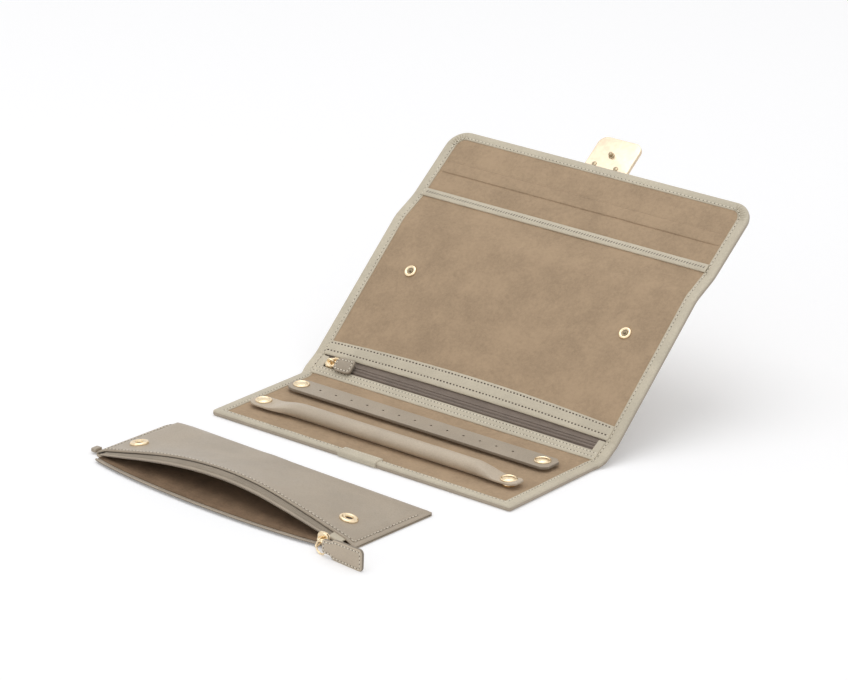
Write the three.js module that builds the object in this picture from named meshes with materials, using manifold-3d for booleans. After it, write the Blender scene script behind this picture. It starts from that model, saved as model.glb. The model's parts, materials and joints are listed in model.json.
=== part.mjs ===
// Long jewelry roll, lying open: a front panel flat on the table, a zipped bottom spine,
// a raised back panel, a top spine and a flap with a metal clasp. A ring roll and an
// earring strap are snapped across the front panel, and a zip pouch stands before it.
// Millimetres. X runs along the long edges, Y from the front edge towards the back, Z up.
// The origin is under the middle of the front panel, on the face that rests on the table.

import * as THREE from 'three';
import { mergeVertices } from 'three/addons/utils/BufferGeometryUtils.js';
import Module from 'manifold-3d';

const wasm = await Module();
wasm.setup();

// Panels
const frontWidth = 235;
const backWidth = 240;
const frontDepth = 92.2;
const bottomSpineHeight = 17;
const backHeight = 110;
const flapHeight = 57.2;
const foldClearance = 0.8;
const creaseSetback = 0.2;
const bentCreaseSetback = 0.65;
const facingSetback = 0.8;
const sideBorder = 8;
const frontBorder = 6;
const flapBorder = 6.5;
const frontCornerRadius = 2;
const flapCornerRadius = 14;

// How far each panel leans from the table, in degrees
const bottomSpineLean = 31.3;
const backLean = 42.8;
const topSpineLean = 27.2;
const flapLean = 38;

// Leather, boards and linings
const coverThickness = 0.8;
const frontBoardThickness = 1.3;
const backBoardThickness = 0.6;
const liningThickness = 0.5;
const pocketLiningThickness = 0.4;
const liningSink = 0.2;
const facingThickness = 0.6;
const layerGap = 0.3;

// Main zip along the bottom spine
const zipLine = 12;
const zipTapeThickness = 0.5;
const zipTapeWidth = 6;
const zipTapeSink = 0.6;
const zipCoilWidth = 2.4;
const zipCoilHeight = 1.3;
const lowerFacingWidth = 7.2;
const upperFacingWidth = 10.5;
const zipEndLength = 5;
const zipEndSink = 0.4;

// Slider, ring and pull tab, alike on both zips
const sliderLength = 8;
const sliderWidth = 7.4;
const sliderPlate = 0.9;
const sliderHeelRadius = 1.5;
const sliderNoseRadius = 2.2;
const bridgeWidth = 1.6;
const bridgeWall = 1;
const ringRadius = 3.4;
const wireRadius = 0.6;
const zipTabLength = 16;
const pouchTabLength = 30;
const tabWidth = 12;
const tabThickness = 2.4;
const tabCornerRadius = 3;
const tabRoundWire = 1.4;
const runningGap = 0.3;

// Flap pockets and clasp
const pocketTrimWidth = 6;
const pocketTrimStart = 1.2;
const pocketSlit = 22.8;
const slitGap = 0.5;
const claspWidth = 31;
const claspReach = 23;
const claspThickness = 2.8;
const claspLipThickness = 1.4;
const claspCornerRadius = 6;
const claspStudReach = 11.2;
const claspStudRadius = 2;
const claspStudChamfer = 0.4;
const claspRivetRadius = 1.1;
const claspRivetSpacing = 17;
const claspRivetReach = 2.2;
const claspFlangeWidth = 0.9;
const claspFlangeHeight = 0.4;
const claspRivetHeadWidth = 0.6;
const claspLip = 5;
const lockEngagement = 0.8;

// Strip with the lock plate, wrapped round the front edge
const lockStripWidth = 30;
const lockStripTopReach = 7;
const lockPlateWidth = 20;
const lockPlateDepth = 13;
const lockStripMargin = 5;
const lockPlateCornerRadius = 2;

// Snap fasteners
const snapCapRadius = 5.5;
const snapCapHeight = 1.4;
const snapShankRadius = 1.5;
const snapSocketRadius = 4.2;
const snapSocketHeight = 1;
const snapKnobRadius = 2.1;
const snapBaseHeight = 0.5;
const snapKnobHeight = 0.4;
const snapWellDepth = 0.7;

// Ring roll: flat ends that swell into a round padded bar
const ringRollDepth = 27.4;
const ringRollHeight = 9.5;
const ringRollGirth = 11.5;
const ringRollEndWidth = 17;
const ringRollTaper = 26;
const ringRollLeather = 0.9;
const ringRollCoreInset = 6;
const ringRollCoreEdge = 0.12;
const ringRollTailInset = 1;
const ringRollTailClip = 4;
const ringRollLeftCap = 97.6;
const ringRollRightCap = 96;

// Earring strap
const strapDepth = 65.2;
const strapWidth = 18;
const strapThickness = 2;
const strapLeftCap = 97.5;
const strapRightCap = 94;
const strapEnd = 8.5;
const strapClip = 5;
const strapHoles = 13;
const strapHolePitch = 12.77;
const strapHoleRadius = 0.75;
const strapFirstHole = 15.5;
const bendReach = 7.5;

// Studs on the back panel that hold the pouch
const pouchStudSpacing = 171;
const pouchStudHeight = 74;
const pouchStudRadius = 4.3;
const pouchStudKnobRadius = 1.7;
const pouchStudProud = 2.2;
const pouchStudBase = 0.8;
const pouchStudCrown = 0.4;

// Zip pouch
const pouchX = -19;
const pouchGap = 30;
const pouchTurn = -2.4;
const pouchWidth = 210.4;
const pouchDepth = 72.4;
const pouchLeather = 1;
const pouchLining = 0.4;
const pouchPuff = 1.6;
const pouchHem = 8;
const pouchMouthRise = 16.5;
const pouchMouthBow = 12.5;
const pouchBackCorner = 7;
const pouchTapeWidth = 5.6;
const pouchTapeThickness = 0.5;
const pouchTapeTuck = 2;
const pouchTapeDroop = 3.6;
const pouchTapeInset = 8;
const pouchTapeEnd = 4;
const pouchTapeEndDepth = 6;
const pouchTapeEndHeight = 2.2;
const pouchSliderInset = 15.5;
const pouchSocketDepth = 51.6;
const pouchSocketShift = -3.3;
const pouchSocketRadius = 6;
const pouchSocketHeight = 1.9;
const pouchPullTurn = 8;

// Sizes that follow from the ones above
const panelThickness = coverThickness + frontBoardThickness + liningThickness
  + liningSink + 2 * layerGap;
const topSpineHeight = bottomSpineHeight + panelThickness + foldClearance;
const closedOverhang = backHeight - frontDepth;
const lockDepth = flapHeight + claspStudReach - closedOverhang;
const pouchBack = -frontDepth / 2 - pouchGap;
const strapUnderside = layerGap - liningSink + snapBaseHeight + snapSocketHeight + layerGap;
const strapTop = strapUnderside + strapThickness;

const coverLeather = { color: 0xb5a893, roughness: 0.55, metalness: 0 };
const facingLeather = { color: 0xc6bba5, roughness: 0.5, metalness: 0 };
const suede = { color: 0xac947c, roughness: 0.95, metalness: 0 };
const pouchSuede = { color: 0x6f5a49, roughness: 0.95, metalness: 0 };
const zipCloth = { color: 0x7b6a62, roughness: 0.85, metalness: 0 };
const greyBoard = { color: 0x8c857a, roughness: 0.9, metalness: 0 };
const padding = { color: 0xd8d2c6, roughness: 0.95, metalness: 0 };
const paleGold = { color: 0xe2c28e, roughness: 0.28, metalness: 1 };
const palePlate = { color: 0xf0e4cc, roughness: 0.3, metalness: 1 };

const radians = THREE.MathUtils.degToRad;

// A closed mesh as a solid for cutting and joining, and back again.
function toSolid(geometry) {
  const bare = new THREE.BufferGeometry();
  bare.setAttribute('position', geometry.getAttribute('position').clone());
  if (geometry.index) bare.setIndex(geometry.index.clone());
  const merged = mergeVertices(bare, 1e-4);
  return new wasm.Manifold(new wasm.Mesh({
    numProp: 3,
    vertProperties: new Float32Array(merged.getAttribute('position').array),
    triVerts: new Uint32Array(merged.index.array),
  }));
}

function toGeometry(solid) {
  const mesh = solid.getMesh();
  const geometry = new THREE.BufferGeometry();
  geometry.setAttribute('position', new THREE.BufferAttribute(mesh.vertProperties, 3));
  geometry.setIndex(new THREE.BufferAttribute(mesh.triVerts, 1));
  geometry.computeVertexNormals();
  return geometry;
}

function cut(geometry, ...tools) {
  let solid = toSolid(geometry);
  for (const tool of tools) solid = solid.subtract(toSolid(tool));
  return toGeometry(solid);
}

function join(geometry, ...others) {
  let solid = toSolid(geometry);
  for (const other of others) solid = solid.add(toSolid(other));
  return toGeometry(solid);
}

function addPiece(group, name, geometry, look) {
  const mesh = new THREE.Mesh(geometry, new THREE.MeshStandardMaterial(look));
  mesh.name = name;
  group.add(mesh);
  return mesh;
}

// A rectangle whose corners may be rounded: radii run near left, near right, far right, far left.
function outline(x0, y0, x1, y1, radii = [0, 0, 0, 0]) {
  const [a, b, c, d] = radii;
  const shape = new THREE.Shape();
  shape.moveTo(x0 + a, y0);
  shape.lineTo(x1 - b, y0);
  if (b) shape.absarc(x1 - b, y0 + b, b, -Math.PI / 2, 0, false);
  shape.lineTo(x1, y1 - c);
  if (c) shape.absarc(x1 - c, y1 - c, c, 0, Math.PI / 2, false);
  shape.lineTo(x0 + d, y1);
  if (d) shape.absarc(x0 + d, y1 - d, d, Math.PI / 2, Math.PI, false);
  shape.lineTo(x0, y0 + a);
  if (a) shape.absarc(x0 + a, y0 + a, a, Math.PI, 1.5 * Math.PI, false);
  return shape;
}

function slab(shape, low, high, curveSegments = 6) {
  const geometry = new THREE.ExtrudeGeometry(shape, {
    depth: high - low,
    bevelEnabled: false,
    curveSegments,
  });
  return geometry.translate(0, 0, low);
}

function block(x0, y0, z0, x1, y1, z1) {
  return slab(outline(x0, y0, x1, y1), z0, z1);
}

// A side outline, drawn in depth and height, drawn out along the long edge.
function sideProfile(points, halfWidth) {
  const shape = new THREE.Shape(points.map(([y, z]) => new THREE.Vector2(y, z)));
  const geometry = slab(shape, -halfWidth, halfWidth);
  return geometry.applyMatrix4(new THREE.Matrix4().makeBasis(
    new THREE.Vector3(0, 1, 0),
    new THREE.Vector3(0, 0, 1),
    new THREE.Vector3(1, 0, 0),
  ));
}

// A turned piece that stands along Z, from radius and height pairs.
function turned(pairs, segments = 20) {
  const profile = pairs.map(([r, z]) => new THREE.Vector2(r, z));
  return new THREE.LatheGeometry(profile, segments).rotateX(Math.PI / 2);
}

// A plain round bar that stands along Z, for drilling holes.
function upright(radius, length) {
  return new THREE.CylinderGeometry(radius, radius, length, 16).rotateX(Math.PI / 2);
}

// A group for a panel hinged on the far crease of the panel before it.
function hingedPanel(parent, reach, lean) {
  const group = new THREE.Group();
  group.position.set(0, reach, 0);
  group.rotation.x = radians(lean);
  parent.add(group);
  return group;
}

// Cover leather: a flat skin whose edges are turned over into raised borders.
function coverWithBorders({ width, near, far, side, nearBorder = 0, farBorder = 0, radii }) {
  const half = width / 2;
  const rim = (radius) => Math.max(radius - Math.min(side, nearBorder || farBorder), 1);
  const full = slab(outline(-half, near, half, far, radii), -panelThickness, 0);
  const open = 5;
  const inner = [
    nearBorder ? rim(radii[0]) : 0,
    nearBorder ? rim(radii[1]) : 0,
    farBorder ? rim(radii[2]) : 0,
    farBorder ? rim(radii[3]) : 0,
  ];
  const recess = slab(outline(
    -half + side,
    nearBorder ? near + nearBorder : near - open,
    half - side,
    farBorder ? far - farBorder : far + open,
    inner,
  ), -panelThickness + coverThickness, open);
  return cut(full, recess);
}

// A sheet that fills a panel's recess between two heights.
function recessSheet({ width, near, far, side, low, high, radii }) {
  const half = width / 2 - side - layerGap;
  return slab(outline(-half, near, half, far, radii), low, high);
}

const jewelryRoll = new THREE.Group();
const front = hingedPanel(jewelryRoll, -frontDepth / 2, 0);
front.position.z = panelThickness;
const bottomSpine = hingedPanel(front, frontDepth, bottomSpineLean);
const back = hingedPanel(bottomSpine, bottomSpineHeight, backLean - bottomSpineLean);
const topSpine = hingedPanel(back, backHeight, topSpineLean - backLean);
const flap = hingedPanel(topSpine, topSpineHeight, flapLean - topSpineLean);

const coverTop = -panelThickness + coverThickness;
const boardLow = coverTop + layerGap;
const frontBoardTop = boardLow + frontBoardThickness;
const liningTop = -liningSink;
const liningLow = liningTop - liningThickness;
const baseLiningTop = liningLow - layerGap;
const baseLiningLow = baseLiningTop - pocketLiningThickness;
const facingLow = layerGap - liningSink;
const facingTop = facingLow + facingThickness;

// Front panel
function makeFrontPanel() {
  const near = frontBorder + layerGap;
  const far = frontDepth - creaseSetback;
  const lockEnd = lockDepth + lockPlateDepth / 2 + lockStripMargin;
  const stripHalf = lockStripWidth / 2;
  const lockSlot = block(
    -stripHalf - layerGap, -1, -panelThickness - 1,
    stripHalf + layerGap, lockEnd + layerGap, boardLow,
  );
  const cover = coverWithBorders({
    width: frontWidth,
    near: 0,
    far,
    side: sideBorder,
    nearBorder: frontBorder,
    radii: [frontCornerRadius, frontCornerRadius, 0, 0],
  });
  addPiece(front, 'front_cover', cut(cover, lockSlot), coverLeather);

  const board = recessSheet({
    width: frontWidth, near, far, side: sideBorder, low: boardLow, high: frontBoardTop,
  });
  const lockHole = upright(claspStudRadius + runningGap, 4 * frontBoardThickness)
    .translate(0, lockDepth, boardLow);
  addPiece(front, 'front_board', cut(board, lockHole), greyBoard);

  addPiece(front, 'front_lining', recessSheet({
    width: frontWidth, near, far, side: sideBorder, low: liningLow, high: liningTop,
  }), suede);

  // The strip runs under the panel, up the front edge and over the border.
  const wrap = layerGap + coverThickness;
  const topOfStrip = layerGap + coverThickness;
  const strip = sideProfile([
    [-wrap, -panelThickness],
    [lockEnd, -panelThickness],
    [lockEnd, coverTop],
    [-layerGap, coverTop],
    [-layerGap, layerGap],
    [lockStripTopReach, layerGap],
    [lockStripTopReach, topOfStrip],
    [-wrap, topOfStrip],
  ], stripHalf);
  const plateHalf = lockPlateWidth / 2;
  const window = block(
    -plateHalf - layerGap, lockDepth - lockPlateDepth / 2 - layerGap, -panelThickness - 1,
    plateHalf + layerGap, lockDepth + lockPlateDepth / 2 + layerGap, boardLow,
  );
  addPiece(front, 'lock_strip', cut(strip, window), coverLeather);

  const plate = outline(
    -plateHalf, lockDepth - lockPlateDepth / 2, plateHalf, lockDepth + lockPlateDepth / 2,
    [1, 1, 1, 1].map((share) => share * lockPlateCornerRadius),
  );
  const hole = new THREE.Path();
  hole.absarc(0, lockDepth, claspStudRadius + runningGap, 0, 2 * Math.PI, true);
  plate.holes.push(hole);
  addPiece(front, 'lock_plate', slab(plate, -panelThickness, coverTop, 8), palePlate);
}

// Snap fasteners, drawn at the underside of the leather that they hold.
function snapCap(leather, withSocket) {
  const top = leather + layerGap;
  const rim = snapCapRadius;
  const pairs = [
    [0, top + snapCapHeight],
    [0.55 * rim, top + 0.92 * snapCapHeight],
    [0.8 * rim, top + 0.6 * snapCapHeight],
    [0.93 * rim, top + 0.75 * snapCapHeight],
    [rim, top + 0.35 * snapCapHeight],
    [rim, top],
    [snapShankRadius, top],
    [snapShankRadius, -layerGap],
    [snapSocketRadius, -layerGap],
  ];
  const foot = -layerGap - snapSocketHeight;
  if (withSocket) {
    const well = snapKnobRadius + layerGap;
    const wellTop = foot + snapWellDepth;
    pairs.push([snapSocketRadius, foot], [well, foot], [well, wellTop], [0, wellTop]);
  } else {
    pairs.push([snapSocketRadius, foot - snapBaseHeight], [0, foot - snapBaseHeight]);
  }
  return turned(pairs.reverse());
}

function snapStud() {
  const knobTop = snapBaseHeight + snapKnobHeight;
  return turned([
    [0, 0],
    [snapSocketRadius, 0],
    [snapSocketRadius, snapBaseHeight - layerGap],
    [snapKnobRadius, snapBaseHeight - layerGap],
    [snapKnobRadius, knobTop],
    [0, knobTop],
  ]);
}

function shankHole(x, y, leather) {
  return upright(snapShankRadius + layerGap, 4 * leather)
    .translate(x, y, strapUnderside + leather / 2);
}

function addSnapPair(prefix, depth, leftCap, rightCap, leather) {
  const floor = facingLow;
  addPiece(front, `${prefix}_rivet`, snapCap(leather, false)
    .translate(-leftCap, depth, strapUnderside), paleGold);
  addPiece(front, `${prefix}_cap`, snapCap(leather, true)
    .translate(rightCap, depth, strapUnderside), paleGold);
  addPiece(front, `${prefix}_stud`, snapStud().translate(rightCap, depth, floor), paleGold);
}

// A bar lofted along X: each station gives its place, half width, half height, height of its
// middle and how square its section is.
function loft(stations, sides) {
  const positions = [];
  const indices = [];
  for (const { x, halfWidth, halfHeight, middle, square } of stations) {
    for (let k = 0; k < sides; k += 1) {
      const angle = 2 * Math.PI * (k + 0.5) / sides;
      const c = Math.cos(angle);
      const s = Math.sin(angle);
      positions.push(
        x,
        halfWidth * Math.sign(c) * Math.abs(c) ** square,
        middle + halfHeight * Math.sign(s) * Math.abs(s) ** square,
      );
    }
  }
  const last = stations.length - 1;
  for (let i = 0; i < last; i += 1) {
    for (let k = 0; k < sides; k += 1) {
      const next = (k + 1) % sides;
      const a = i * sides + k;
      const b = i * sides + next;
      indices.push(a, b, b + sides, a, b + sides, a + sides);
    }
  }
  for (let k = 1; k < sides - 1; k += 1) {
    indices.push(0, k + 1, k);
    indices.push(last * sides, last * sides + k, last * sides + k + 1);
  }
  const geometry = new THREE.BufferGeometry();
  geometry.setAttribute('position', new THREE.Float32BufferAttribute(positions, 3));
  geometry.setIndex(indices);
  return geometry;
}

// The ring roll between two places, drawn in by a skin: flat at its ends, round between.
function ringRollBar(from, to, skin, endHalfHeight) {
  const rest = layerGap - liningSink;
  const swellStart = -ringRollLeftCap + bendReach;
  const swellEnd = ringRollRightCap - bendReach;
  const stations = [];
  const steps = 26;
  for (let i = 0; i <= steps; i += 1) {
    const x = from + (to - from) * (1 - Math.cos(Math.PI * i / steps)) / 2;
    const reach = Math.min(x - swellStart, swellEnd - x) / ringRollTaper;
    const swell = THREE.MathUtils.smoothstep(reach, 0, 1) ** 0.8;
    const endMiddle = strapUnderside + strapThickness / 2;
    stations.push({
      x,
      halfWidth: THREE.MathUtils.lerp(ringRollEndWidth, ringRollGirth, swell) / 2 - skin,
      halfHeight: THREE.MathUtils.lerp(endHalfHeight, ringRollHeight / 2 - skin, swell),
      middle: THREE.MathUtils.lerp(endMiddle, rest + ringRollHeight / 2, swell),
      square: THREE.MathUtils.lerp(0.35, 1, swell),
    });
  }
  return loft(stations, 18);
}

// A rounded end of a flat strap, standing past its cap.
function strapEndOutline(bend, cap, end, width, clip) {
  const side = Math.sign(cap);
  const tip = cap + side * end;
  const shape = new THREE.Shape();
  shape.moveTo(bend, -width / 2);
  shape.lineTo(tip - side * clip, -width / 2);
  shape.lineTo(tip, -width / 2 + clip);
  shape.lineTo(tip, width / 2 - clip);
  shape.lineTo(tip - side * clip, width / 2);
  shape.lineTo(bend, width / 2);
  return shape;
}

function makeRingRoll() {
  const bend = -ringRollLeftCap + bendReach;
  const low = strapUnderside;
  const anchor = slab(strapEndOutline(
    bend - layerGap / 2, -ringRollLeftCap, strapEnd, ringRollEndWidth, strapClip,
  ), low, strapTop);
  anchor.translate(0, ringRollDepth, 0);
  addPiece(front, 'ring_roll_anchor', cut(
    anchor,
    shankHole(-ringRollLeftCap, ringRollDepth, strapThickness),
  ), coverLeather);

  const start = bend + layerGap / 2;
  const flatStart = ringRollRightCap - bendReach;
  const bar = ringRollBar(start, flatStart + 1, 0, strapThickness / 2);
  const tail = slab(strapEndOutline(
    flatStart, ringRollRightCap, strapEnd - ringRollTailInset,
    ringRollEndWidth - ringRollTailInset, ringRollTailClip,
  ), low, strapTop);
  const coreEnd = flatStart - ringRollCoreInset;
  const hollow = ringRollBar(
    start - bendReach, coreEnd + layerGap, ringRollLeather, ringRollCoreEdge + layerGap / 2,
  );
  const leather = cut(join(bar, tail), hollow).translate(0, ringRollDepth, 0);
  addPiece(front, 'ring_roll_leather', cut(
    leather,
    shankHole(ringRollRightCap, ringRollDepth, strapThickness),
  ), coverLeather);

  const coreStart = start + ringRollCoreInset;
  const core = ringRollBar(
    coreStart, coreEnd - layerGap, ringRollLeather + layerGap, ringRollCoreEdge,
  );
  addPiece(front, 'ring_roll_core', core.translate(0, ringRollDepth, 0), padding);
  addSnapPair('ring_roll', ringRollDepth, ringRollLeftCap, ringRollRightCap, strapThickness);
}

function makeEarringStrap() {
  const bend = -strapLeftCap + bendReach;
  const anchor = slab(strapEndOutline(
    bend - layerGap / 2, -strapLeftCap, strapEnd, strapWidth, strapClip,
  ), strapUnderside, strapTop).translate(0, strapDepth, 0);
  addPiece(front, 'strap_anchor', cut(
    anchor,
    shankHole(-strapLeftCap, strapDepth, strapThickness),
  ), coverLeather);

  const shape = strapEndOutline(
    bend + layerGap / 2, strapRightCap, strapEnd, strapWidth, strapClip,
  );
  for (let i = 0; i < strapHoles; i += 1) {
    const hole = new THREE.Path();
    const x = -strapLeftCap + strapFirstHole + i * strapHolePitch;
    hole.absarc(x, 0, strapHoleRadius, 0, 2 * Math.PI, true);
    shape.holes.push(hole);
  }
  const strap = slab(shape, strapUnderside, strapTop, 4).translate(0, strapDepth, 0);
  addPiece(front, 'earring_strap', cut(
    strap,
    shankHole(strapRightCap, strapDepth, strapThickness),
  ), coverLeather);
  addSnapPair('strap', strapDepth, strapLeftCap, strapRightCap, strapThickness);
}

// Bottom spine with the closed zip
function makeBottomSpine() {
  const near = creaseSetback;
  const far = bottomSpineHeight - creaseSetback;
  addPiece(bottomSpine, 'bottom_spine_cover', coverWithBorders({
    width: backWidth, near, far, side: sideBorder, radii: [0, 0, 0, 0],
  }), coverLeather);
  addPiece(bottomSpine, 'bottom_spine_lining', recessSheet({
    width: backWidth, near, far, side: sideBorder,
    low: boardLow, high: boardLow + pocketLiningThickness,
  }), suede);

  const half = backWidth / 2 - sideBorder - layerGap;
  const tapeTop = facingLow - layerGap - zipTapeSink;
  const tapeLow = tapeTop - zipTapeThickness;
  const lowerEdge = zipLine - runningGap / 2;
  const upperEdge = zipLine + runningGap / 2;
  const upperFar = Math.min(upperEdge + zipTapeWidth, far);
  addPiece(bottomSpine, 'zip_tape_lower', block(
    -half, lowerEdge - zipTapeWidth, tapeLow, half, lowerEdge, tapeTop,
  ), zipCloth);
  addPiece(bottomSpine, 'zip_tape_upper', block(
    -half, upperEdge, tapeLow, half, upperFar, tapeTop,
  ), zipCloth);

  const coilLow = tapeTop + layerGap;
  addPiece(bottomSpine, 'zip_coil', block(
    -half + zipEndLength, zipLine - zipCoilWidth / 2, coilLow,
    half - zipEndLength, zipLine + zipCoilWidth / 2, coilLow + zipCoilHeight,
  ), zipCloth);

  addPiece(bottomSpine, 'zip_facing_lower', block(
    -half, facingSetback, facingLow, half, facingSetback + lowerFacingWidth, facingTop,
  ), facingLeather);

  for (const [name, side] of [['zip_end_left', -1], ['zip_end_right', 1]]) {
    const inside = side * (half - zipEndLength + layerGap);
    addPiece(bottomSpine, name, block(
      Math.min(side * half, inside), facingSetback + lowerFacingWidth + layerGap,
      facingLow - zipEndSink,
      Math.max(side * half, inside), bottomSpineHeight - facingSetback, facingTop,
    ), facingLeather);
  }

  const sliderBase = tapeTop + runningGap;
  const sliderX = -half + zipEndLength + runningGap + sliderLength / 2;
  makeZipPull(bottomSpine, 'zip', {
    place: new THREE.Vector3(sliderX, zipLine, sliderBase),
    stand: 0,
    tabLength: zipTabLength,
    tabDrop: Math.max(zipLine + tabWidth / 2 - bottomSpineHeight + facingTop + runningGap, 0),
    turn: 0,
  });
}

// A slider with its bridge, a round wire ring through the bridge, and a leather tab on the
// ring. X runs along the zip towards the tab, Z points away from the teeth.
function makeZipPull(parent, prefix, { place, stand, tabLength, tabDrop, turn }) {
  const group = new THREE.Group();
  group.position.copy(place);
  group.rotation.x = radians(stand);
  parent.add(group);

  const coil = zipCoilHeight + runningGap;
  const top = coil + sliderPlate;
  const channel = zipCoilWidth / 2 + runningGap;
  const halfLength = sliderLength / 2;
  const plate = slab(outline(
    -halfLength, -sliderWidth / 2, halfLength, sliderWidth / 2,
    [sliderHeelRadius, sliderNoseRadius, sliderNoseRadius, sliderHeelRadius],
  ), 0, top, 4);
  const groove = block(-sliderLength, -channel, -1, sliderLength, channel, coil);
  const pivotHeight = top + wireRadius + runningGap;
  const bore = wireRadius + runningGap;
  const bridge = block(
    -bore - bridgeWall, -bridgeWidth / 2, top - 0.2,
    bore + bridgeWall, bridgeWidth / 2, pivotHeight + bore + bridgeWall,
  );
  const tunnel = new THREE.CylinderGeometry(bore, bore, 2 * bridgeWidth, 16)
    .translate(0, 0, pivotHeight);
  const slider = cut(join(cut(plate, groove), bridge), tunnel);
  addPiece(group, `${prefix}_slider`, slider, paleGold);

  const pull = new THREE.Group();
  pull.position.z = pivotHeight;
  pull.rotation.y = -radians(turn);
  group.add(pull);
  addPiece(pull, `${prefix}_pull_ring`, new THREE.TorusGeometry(ringRadius, wireRadius, 8, 24)
    .translate(ringRadius, 0, 0), paleGold);

  const neck = 2 * ringRadius - wireRadius - runningGap - tabRoundWire;
  const tab = slab(outline(
    neck, -tabWidth / 2 - tabDrop, neck + tabLength, tabWidth / 2 - tabDrop,
    [tabCornerRadius, tabCornerRadius, tabCornerRadius, tabCornerRadius],
  ), -tabThickness / 2, tabThickness / 2);
  const wireRoom = new THREE.TorusGeometry(ringRadius, wireRadius + runningGap, 8, 24)
    .translate(ringRadius, 0, 0);
  const bridgeRoom = block(
    -4 * ringRadius, -bridgeWidth, -tabThickness, ringRadius + 1, bridgeWidth, tabThickness,
  );
  addPiece(pull, `${prefix}_pull_tab`, cut(tab, wireRoom, bridgeRoom), coverLeather);
}

// Back panel
function makeBack() {
  const near = creaseSetback;
  const far = backHeight - bentCreaseSetback;
  const sheet = { width: backWidth, near, far, side: sideBorder };
  addPiece(back, 'back_cover', coverWithBorders({ ...sheet, radii: [0, 0, 0, 0] }), coverLeather);
  addPiece(back, 'back_board', recessSheet({
    ...sheet, low: boardLow, high: boardLow + backBoardThickness,
  }), greyBoard);
  addPiece(back, 'zip_pocket_lining', recessSheet({
    ...sheet, low: baseLiningLow, high: baseLiningTop,
  }), suede);
  addPiece(back, 'back_lining', recessSheet({
    ...sheet, low: liningLow, high: liningTop,
  }), suede);
  const half = backWidth / 2 - sideBorder - layerGap;
  addPiece(back, 'zip_facing_upper', block(
    -half, facingSetback, facingLow, half, facingSetback + upperFacingWidth, facingTop,
  ), facingLeather);

  for (const [name, side] of [['pouch_stud_left', -1], ['pouch_stud_right', 1]]) {
    const stud = turned([
      [0, 0],
      [pouchStudRadius, 0],
      [pouchStudRadius, pouchStudBase],
      [0.75 * pouchStudRadius, pouchStudBase + pouchStudCrown],
      [pouchStudKnobRadius, pouchStudBase],
      [pouchStudKnobRadius, pouchStudProud],
      [0, pouchStudProud],
    ]);
    addPiece(back, name, stud.translate(
      side * pouchStudSpacing / 2, pouchStudHeight, facingLow,
    ), paleGold);
  }
}

function makeTopSpine() {
  const sheet = {
    width: backWidth,
    near: bentCreaseSetback,
    far: topSpineHeight - creaseSetback,
    side: sideBorder,
  };
  addPiece(topSpine, 'top_spine_cover', coverWithBorders({
    ...sheet, radii: [0, 0, 0, 0],
  }), coverLeather);
  addPiece(topSpine, 'top_spine_lining', recessSheet({
    ...sheet, low: liningLow, high: liningTop,
  }), suede);
}

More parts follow.
